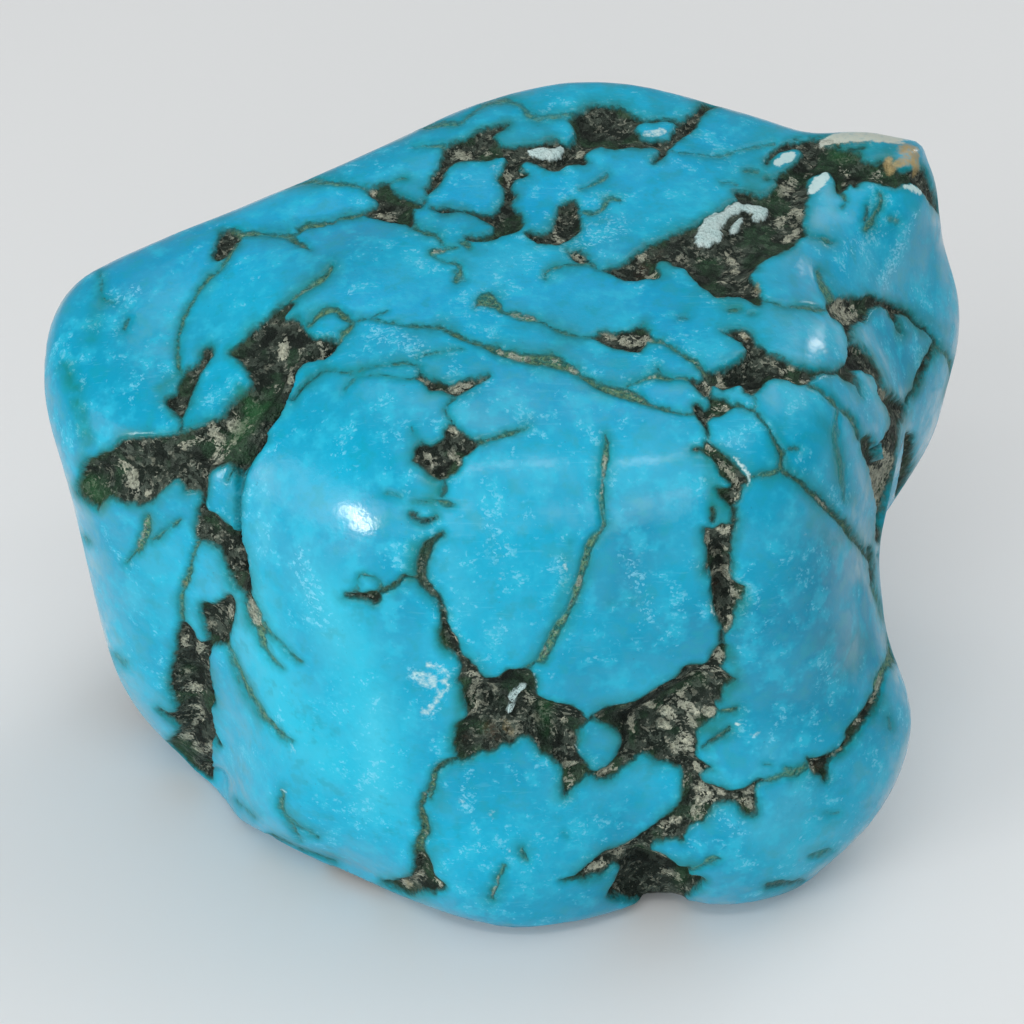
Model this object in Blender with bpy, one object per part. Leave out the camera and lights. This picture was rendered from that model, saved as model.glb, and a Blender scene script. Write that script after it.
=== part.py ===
"""A tumbled nugget of turquoise: one solid stone, about 47 x 35 x 32 mm.

Its surface is a rule: a rounded block of flat-worn facets, a knuckle-shaped
boulder standing out of its front, and three rounded swellings, blended where
they meet and worn flat underneath. A geodesic sphere is pressed onto it.
Metres, +Z up, with the origin under the middle of the stone.
"""

import math

import bmesh
import bpy
import numpy as np

# Overall dimensions and fineness.
MM = 0.001
NAME = "nugget"
SUBDIVISIONS = 5
HEART = (0.0, 1.0, 15.0)          # every ray from here crosses the surface once
REACH = 34.0                      # farther out than any point of the stone
CENTRE_X, CENTRE_Y = 0.27, 3.05   # middle of the stone in the shape's own numbers
FOOT_BLEND = 1.0                  # rounding where the worn underside begins

# Facets of the block: outward direction, a point on it, and how widely its
# edges are rounded off. Millimetres.
BLOCK = [
    ((0.10, -0.14, 1.00), (3.5, 16.0, 32.5), 4.0),       # top
    ((-0.17, -0.33, 1.00), (-15.5, 7.4, 29.95), 4.0),    # top, left part
    ((-0.49, 0.83, 0.25), (-11.0, 12.1, 23.4), 3.6),     # back left
    ((-0.12, 0.97, 0.20), (0.0, 20.0, 25.0), 4.0),       # back
    ((0.30, 0.95, 0.10), (11.5, 16.8, 24.0), 3.2),       # back right
    ((0.97, -0.10, -0.25), (23.4, 6.0, 20.0), 3.5),      # right, undercut
    ((0.74, -0.38, 0.52), (18.2, 8.5, 28.7), 2.2),       # right, sloping
    ((-0.98, -0.06, -0.17), (-22.4, 1.0, 18.0), 4.0),    # left
    ((-0.75, -0.20, -0.62), (-20.1, -1.4, 3.0), 4.0),    # left, undercut
    ((-0.42, -0.88, -0.16), (-17.0, -6.2, 16.0), 4.0),   # left front
    ((0.05, -1.00, 0.05), (0.0, -9.0, 16.0), 3.0),       # front, behind the boulder
    ((0.75, -0.62, -0.18), (21.9, 6.1, 18.0), 3.0),      # right front
    ((-0.10, 0.62, -0.78), (-3.0, 14.5, 3.4), 5.0),      # back, undercut
    ((0.50, 0.25, -0.83), (16.0, 6.0, 4.6), 5.0),        # right, underneath
]

# Facets of the boulder that stands out of the block's front.
BOULDER = [
    ((0.02, -0.13, 1.00), (0.0, -6.0, 28.7), 4.0),       # cap
    ((0.00, -0.62, 0.78), (0.0, -12.0, 27.4), 3.5),      # shoulder
    ((0.05, -0.99, 0.10), (0.0, -14.4, 14.0), 3.5),      # face
    ((0.00, -0.985, -0.16), (0.0, -15.4, 4.0), 4.5),     # face, lower part
    ((-0.60, -0.80, 0.00), (-9.8, -12.0, 10.0), 3.5),    # left front
    ((-0.98, -0.12, -0.04), (-14.6, -5.0, 8.0), 3.5),    # left
    ((-0.60, -0.40, 0.69), (-10.8, -9.0, 25.4), 4.0),    # left shoulder
    ((-0.34, -0.57, -0.75), (-11.0, -8.7, 0.7), 3.5),    # left, undercut
    ((0.75, -0.65, -0.16), (8.2, -12.0, 12.0), 4.0),     # right front
    ((0.98, 0.10, -0.05), (13.8, -3.0, 16.0), 4.0),      # right
    ((0.00, 1.00, 0.00), (0.0, 5.0, 16.0), 4.0),         # back, inside the block
]
BOULDER_BLEND = 1.6

# Swellings: centre, half-sizes, turn in degrees about X, Y and Z, squareness
# (2 is an ellipsoid, more is boxier) and width of the blend. Millimetres.
SWELLINGS = {
    "column": ((11.0, -4.0, 14.6), (6.9, 8.8, 13.2), (0, 0, -20), 2.7, 3.5),
    "heel": ((12.2, -7.3, 6.8), (7.8, 6.5, 7.3), (0, -36, 12), 2.2, 1.5),
    "knoll": ((18.4, 11.2, 27.2), (2.5, 2.7, 2.6), (0, 0, 0), 2.2, 3.0),
}

COLOUR = (0.022, 0.42, 0.60, 1.0)
ROUGHNESS = 0.24


def blend_min(a, b, width):
    """The smaller of two fields, with the valley between them filled."""
    h = np.maximum(width - np.abs(a - b), 0.0) / width
    return np.minimum(a, b) - h * h * width * 0.25


def blend_max(a, b, width):
    """The larger of two fields, with the edge between them rounded."""
    return -blend_min(-a, -b, width)


def facets(points, faces):
    """Distance outside a solid bounded by flat faces with rounded edges."""
    field = None
    for normal, through, width in faces:
        normal = np.array(normal) / np.linalg.norm(normal)
        d = (points - np.array(through)) @ normal
        field = d if field is None else blend_max(field, d, width)
    return field


def turn(degrees):
    """Rotation matrix about X, then Y, then Z."""
    x, y, z = (math.radians(a) for a in degrees)
    about_x = [[1, 0, 0], [0, math.cos(x), -math.sin(x)], [0, math.sin(x), math.cos(x)]]
    about_y = [[math.cos(y), 0, math.sin(y)], [0, 1, 0], [-math.sin(y), 0, math.cos(y)]]
    about_z = [[math.cos(z), -math.sin(z), 0], [math.sin(z), math.cos(z), 0], [0, 0, 1]]
    return np.array(about_z) @ np.array(about_y) @ np.array(about_x)


def swelling(points, centre, half, degrees, power):
    """Distance outside a superellipsoid, near enough to its surface."""
    own = (points - np.array(centre)) @ turn(degrees)
    half = np.array(half)
    a = np.maximum(np.abs(own) / half, 1e-6)
    total = (a**power).sum(-1)
    slope = (total ** (1.0 / power - 1.0))[..., None] * a ** (power - 1.0) / half
    return (total ** (1.0 / power) - 1.0) / np.sqrt((slope**2).sum(-1))


def stone(points):
    """Negative inside the stone, positive outside, in millimetres."""
    field = blend_min(facets(points, BLOCK), facets(points, BOULDER), BOULDER_BLEND)
    for centre, half, degrees, power, width in SWELLINGS.values():
        field = blend_min(field, swelling(points, centre, half, degrees, power), width)
    return blend_max(field, -points[..., 2], FOOT_BLEND)


def surface_along(directions):
    """Where rays from the heart leave the stone, by halving."""
    heart = np.array(HEART)
    radii = np.linspace(REACH, 1.0, 67)
    outside = np.full(len(directions), REACH)
    inside = np.full(len(directions), 1.0)
    open_rays = np.ones(len(directions), bool)
    for radius in radii:
        hit = open_rays & (stone(heart + directions * radius) < 0)
        inside[hit] = radius
        open_rays &= ~hit
        outside[open_rays] = radius
    for _ in range(22):
        middle = (inside + outside) / 2
        within = stone(heart + directions * middle[:, None]) < 0
        inside = np.where(within, middle, inside)
        outside = np.where(within, outside, middle)
    return heart + directions * ((inside + outside) / 2)[:, None]


def turquoise():
    material = bpy.data.materials.new("turquoise")
    material.use_nodes = True
    shader = next(n for n in material.node_tree.nodes if n.type == "BSDF_PRINCIPLED")
    shader.inputs["Base Color"].default_value = COLOUR
    shader.inputs["Roughness"].default_value = ROUGHNESS
    shader.inputs["Metallic"].default_value = 0.0
    material.diffuse_color = COLOUR
    return material


def build():
    for obj in list(bpy.data.objects):
        bpy.data.objects.remove(obj, do_unlink=True)
    group = bpy.data.collections.new("turquoise_nugget")
    bpy.context.scene.collection.children.link(group)

    cage = bmesh.new()
    bmesh.ops.create_icosphere(cage, subdivisions=SUBDIVISIONS, radius=1.0)
    directions = np.array([v.co[:] for v in cage.verts], float)
    directions /= np.linalg.norm(directions, axis=1)[:, None]
    points = surface_along(directions)
    points[points[:, 2] < 0.02, 2] = 0.0
    points -= np.array([CENTRE_X, CENTRE_Y, 0.0])
    for vertex, point in zip(cage.verts, points):
        vertex.co = [float(c) * MM for c in point]
    bmesh.ops.recalc_face_normals(cage, faces=cage.faces)
    mesh = bpy.data.meshes.new(NAME)
    cage.to_mesh(mesh)
    cage.free()
    mesh.shade_smooth()
    mesh.materials.append(turquoise())
    group.objects.link(bpy.data.objects.new(NAME, mesh))


build()
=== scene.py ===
"""The stone's surface is the same rule as in the CAD, on a finer mesh, with the
matrix and veins sunk into it. Their outlines were followed over the
photograph, in its pixels, and are carried onto the stone along the camera's
rays. The sides that the photograph doesn't show have a crack network of their
own. Nothing is read but the frame.
"""

import math

import bmesh
import bpy
import numpy as np
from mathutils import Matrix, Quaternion, Vector


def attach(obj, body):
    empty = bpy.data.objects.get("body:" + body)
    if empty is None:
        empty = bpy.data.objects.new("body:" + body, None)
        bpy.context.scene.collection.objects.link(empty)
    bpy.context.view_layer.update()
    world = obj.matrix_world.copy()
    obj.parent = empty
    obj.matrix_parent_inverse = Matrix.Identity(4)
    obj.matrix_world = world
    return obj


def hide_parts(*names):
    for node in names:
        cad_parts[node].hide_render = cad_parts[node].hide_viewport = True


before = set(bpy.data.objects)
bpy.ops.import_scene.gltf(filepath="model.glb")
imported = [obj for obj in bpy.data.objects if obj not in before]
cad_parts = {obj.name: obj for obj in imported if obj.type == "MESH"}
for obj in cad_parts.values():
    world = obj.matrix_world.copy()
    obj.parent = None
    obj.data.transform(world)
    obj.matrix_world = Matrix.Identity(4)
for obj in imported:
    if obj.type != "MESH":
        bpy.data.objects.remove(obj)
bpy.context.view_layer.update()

MM = 0.001

# ---------------------------------------------------------------- the shape
# The CAD's own numbers, in millimetres. The frame's origin is at CENTRE.
CENTRE = np.array([0.27, 3.05, 0.0])
HEART = np.array([0.0, 1.0, 15.0])
REACH = 34.0
FOOT_BLEND = 1.0

# Facets of the block: outward direction, a point on it, and how widely its
# edges are rounded off. Millimetres.
BLOCK = [
    ((0.10, -0.14, 1.00), (3.5, 16.0, 32.5), 4.0),       # top
    ((-0.17, -0.33, 1.00), (-15.5, 7.4, 29.95), 4.0),    # top, left part
    ((-0.49, 0.83, 0.25), (-11.0, 12.1, 23.4), 3.6),     # back left
    ((-0.12, 0.97, 0.20), (0.0, 20.0, 25.0), 4.0),       # back
    ((0.30, 0.95, 0.10), (11.5, 16.8, 24.0), 3.2),       # back right
    ((0.97, -0.10, -0.25), (23.4, 6.0, 20.0), 3.5),      # right, undercut
    ((0.74, -0.38, 0.52), (18.2, 8.5, 28.7), 2.2),       # right, sloping
    ((-0.98, -0.06, -0.17), (-22.4, 1.0, 18.0), 4.0),    # left
    ((-0.75, -0.20, -0.62), (-20.1, -1.4, 3.0), 4.0),    # left, undercut
    ((-0.42, -0.88, -0.16), (-17.0, -6.2, 16.0), 4.0),   # left front
    ((0.05, -1.00, 0.05), (0.0, -9.0, 16.0), 3.0),       # front, behind the boulder
    ((0.75, -0.62, -0.18), (21.9, 6.1, 18.0), 3.0),      # right front
    ((-0.10, 0.62, -0.78), (-3.0, 14.5, 3.4), 5.0),      # back, undercut
    ((0.50, 0.25, -0.83), (16.0, 6.0, 4.6), 5.0),        # right, underneath
]

# Facets of the boulder that stands out of the block's front.
BOULDER = [
    ((0.02, -0.13, 1.00), (0.0, -6.0, 28.7), 4.0),       # cap
    ((0.00, -0.62, 0.78), (0.0, -12.0, 27.4), 3.5),      # shoulder
    ((0.05, -0.99, 0.10), (0.0, -14.4, 14.0), 3.5),      # face
    ((0.00, -0.985, -0.16), (0.0, -15.4, 4.0), 4.5),     # face, lower part
    ((-0.60, -0.80, 0.00), (-9.8, -12.0, 10.0), 3.5),    # left front
    ((-0.98, -0.12, -0.04), (-14.6, -5.0, 8.0), 3.5),    # left
    ((-0.60, -0.40, 0.69), (-10.8, -9.0, 25.4), 4.0),    # left shoulder
    ((-0.34, -0.57, -0.75), (-11.0, -8.7, 0.7), 3.5),    # left, undercut
    ((0.75, -0.65, -0.16), (8.2, -12.0, 12.0), 4.0),     # right front
    ((0.98, 0.10, -0.05), (13.8, -3.0, 16.0), 4.0),      # right
    ((0.00, 1.00, 0.00), (0.0, 5.0, 16.0), 4.0),         # back, inside the block
]
BOULDER_BLEND = 1.6

# Swellings: centre, half-sizes, turn in degrees about X, Y and Z, squareness
# (2 is an ellipsoid, more is boxier) and width of the blend. Millimetres.
SWELLINGS = {
    "column": ((11.0, -4.0, 14.6), (6.9, 8.8, 13.2), (0, 0, -20), 2.7, 3.5),
    "heel": ((12.2, -7.3, 6.8), (7.8, 6.5, 7.3), (0, -36, 12), 2.2, 1.5),
    "knoll": ((18.4, 11.2, 27.2), (2.5, 2.7, 2.6), (0, 0, 0), 2.2, 3.0),
}


def blend_min(a, b, width):
    """The smaller of two fields, with the valley between them filled."""
    h = np.maximum(width - np.abs(a - b), 0.0) / width
    return np.minimum(a, b) - h * h * width * 0.25


def blend_max(a, b, width):
    """The larger of two fields, with the edge between them rounded."""
    return -blend_min(-a, -b, width)


def facets(points, faces):
    """Distance outside a solid bounded by flat faces with rounded edges."""
    field = None
    for normal, through, width in faces:
        normal = np.array(normal) / np.linalg.norm(normal)
        d = (points - np.array(through)) @ normal
        field = d if field is None else blend_max(field, d, width)
    return field


def turn(degrees):
    """Rotation matrix about X, then Y, then Z."""
    x, y, z = (math.radians(a) for a in degrees)
    about_x = [[1, 0, 0], [0, math.cos(x), -math.sin(x)], [0, math.sin(x), math.cos(x)]]
    about_y = [[math.cos(y), 0, math.sin(y)], [0, 1, 0], [-math.sin(y), 0, math.cos(y)]]
    about_z = [[math.cos(z), -math.sin(z), 0], [math.sin(z), math.cos(z), 0], [0, 0, 1]]
    return np.array(about_z) @ np.array(about_y) @ np.array(about_x)


def swelling(points, centre, half, degrees, power):
    """Distance outside a superellipsoid, near enough to its surface."""
    own = (points - np.array(centre)) @ turn(degrees)
    half = np.array(half)
    a = np.maximum(np.abs(own) / half, 1e-6)
    total = (a**power).sum(-1)
    slope = (total ** (1.0 / power - 1.0))[..., None] * a ** (power - 1.0) / half
    return (total ** (1.0 / power) - 1.0) / np.sqrt((slope**2).sum(-1))


def stone(points):
    """Negative inside the stone, positive outside, in millimetres."""
    field = blend_min(facets(points, BLOCK), facets(points, BOULDER), BOULDER_BLEND)
    for centre, half, degrees, power, width in SWELLINGS.values():
        field = blend_min(field, swelling(points, centre, half, degrees, power), width)
    return blend_max(field, -points[..., 2], FOOT_BLEND)


# ---------------------------------------------------------------- the camera
ELEVATION = math.radians(35.0)
DISTANCE = 150.0
FOCAL = 3000.0                    # in the photograph's pixels, 1024 across
TARGET = np.array([0.0, 0.0, 16.0])
RIGHT = np.array([1.0, 0.0, 0.0])
AWAY = np.array([0.0, math.cos(ELEVATION), -math.sin(ELEVATION)])
UP = np.cross(RIGHT, AWAY)
EYE = TARGET - AWAY * DISTANCE


def pixels(points):
    """Where points fall in the photograph, and how far from the camera."""
    q = points - TARGET
    depth = DISTANCE + q @ AWAY
    return 512 + FOCAL * (q @ RIGHT) / depth, 512 - FOCAL * (q @ UP) / depth, depth


def depth_hidden(points, steps=44):
    """How far each point lies behind what the camera sees in its place, in mm."""
    d = points - EYE
    far = np.linalg.norm(d, axis=1)
    d = d / far[:, None]
    t = far - np.minimum(far * 0 + 62.0, far)
    live = np.arange(len(points))
    for _ in range(steps):
        if not len(live):
            break
        s = stone(EYE + d[live] * t[live, None])
        t[live] = np.minimum(t[live] + np.maximum(s, 0) * 0.9 + 0.004, far[live])
        live = live[(s > 0.01) & (t[live] < far[live] - 0.01)]
    return far - t


# ------------------------------------------------------------------- noise
def lattice(ix, iy, iz, seed):
    h = (ix * 374761393 + iy * 668265263 + iz * 2147483647 + seed * 1274126177) & 0xFFFFFFFF
    h = ((h ^ (h >> 13)) * 1274126177) & 0xFFFFFFFF
    h = ((h ^ (h >> 16)) * 2246822519) & 0xFFFFFFFF
    return ((h ^ (h >> 15)) & 0xFFFFFF) / 8388607.5 - 1.0


def noise(points, size, seed):
    """Smooth noise from -1 to 1, with bumps about size millimetres across."""
    p = points / size + seed * 17.31
    cell = np.floor(p).astype(np.int64)
    f = p - cell
    f = f * f * f * (f * (f * 6 - 15) + 10)
    total = 0.0
    for dx in (0, 1):
        wx = f[:, 0] if dx else 1 - f[:, 0]
        for dy in (0, 1):
            wy = f[:, 1] if dy else 1 - f[:, 1]
            for dz in (0, 1):
                wz = f[:, 2] if dz else 1 - f[:, 2]
                total = total + wx * wy * wz * lattice(
                    cell[:, 0] + dx, cell[:, 1] + dy, cell[:, 2] + dz, seed
                )
    return total


def rough_noise(points, size, seed, octaves=3):
    total, scale = 0.0, 1.0
    for i in range(octaves):
        total = total + scale * noise(points, size / 2**i, seed + i)
        scale *= 0.5
    return total / 1.6


def step(x, low, high):
    t = np.clip((x - low) / (high - low), 0, 1)
    return t * t * (3 - 2 * t)


# --------------------------------------------------------------- the marks
PX = 20.0                         # pixels to a millimetre, near enough


def path(text):
    return np.array([[float(n) for n in word.split(",")] for word in text.split()])


def rounded(points, closed):
    """Corners cut once, so that a traced line has no sharp bends."""
    if len(points) < 3:
        return points
    nxt = np.roll(points, -1, axis=0)
    a, b = points * 0.75 + nxt * 0.25, points * 0.25 + nxt * 0.75
    if closed:
        return np.stack([a, b], 1).reshape(-1, points.shape[1])
    inner = np.stack([a[:-1], b[:-1]], 1).reshape(-1, points.shape[1])
    return np.concatenate([points[:1], inner[1:-1], points[-1:]])


def outline_distance(uv, outline):
    """Signed distance in pixels from an outline, negative inside it."""
    outline = rounded(outline, True)
    margin = 90.0
    lo, hi = outline.min(0) - margin, outline.max(0) + margin
    near = np.flatnonzero(((uv > lo) & (uv < hi)).all(1))
    result = np.full(len(uv), margin)
    for start in range(0, len(near), 12000):
        part = near[start : start + 12000]
        p = uv[part]
        best = np.full(len(p), 1e9)
        inside = np.zeros(len(p), bool)
        for a, b in zip(outline, np.roll(outline, -1, axis=0)):
            ab = b - a
            t = np.clip(((p - a) @ ab) / max(ab @ ab, 1e-9), 0, 1)
            away = p - a - t[:, None] * ab
            best = np.minimum(best, (away * away).sum(1))
            if a[1] != b[1]:
                across = (a[1] > p[:, 1]) != (b[1] > p[:, 1])
                x = a[0] + (p[:, 1] - a[1]) * ab[0] / ab[1]
                inside ^= across & (p[:, 0] < x)
        result[part] = np.where(inside, -1, 1) * np.sqrt(best)
    return result


def stroke_distance(uv, stroke, margin=60.0):
    """Distance in pixels outside a stroke of changing width, negative in it."""
    stroke = rounded(stroke, False)
    lo, hi = stroke[:, :2].min(0) - margin, stroke[:, :2].max(0) + margin
    near = np.flatnonzero(((uv > lo) & (uv < hi)).all(1))
    result = np.full(len(uv), margin)
    if not len(near):
        return result
    p = uv[near]
    best = np.full(len(p), margin)
    if len(stroke) == 1:
        best = np.sqrt(((p - stroke[0, :2]) ** 2).sum(1)) - stroke[0, 2] / 2
    for a, b in zip(stroke[:-1], stroke[1:]):
        ab = b[:2] - a[:2]
        t = np.clip(((p - a[:2]) @ ab) / max(ab @ ab, 1e-9), 0, 1)
        away = p - a[:2] - t[:, None] * ab
        d = np.sqrt((away * away).sum(1)) - (a[2] + t * (b[2] - a[2])) / 2
        best = np.minimum(best, d)
    result[near] = np.minimum(best, margin)
    return result
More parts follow.
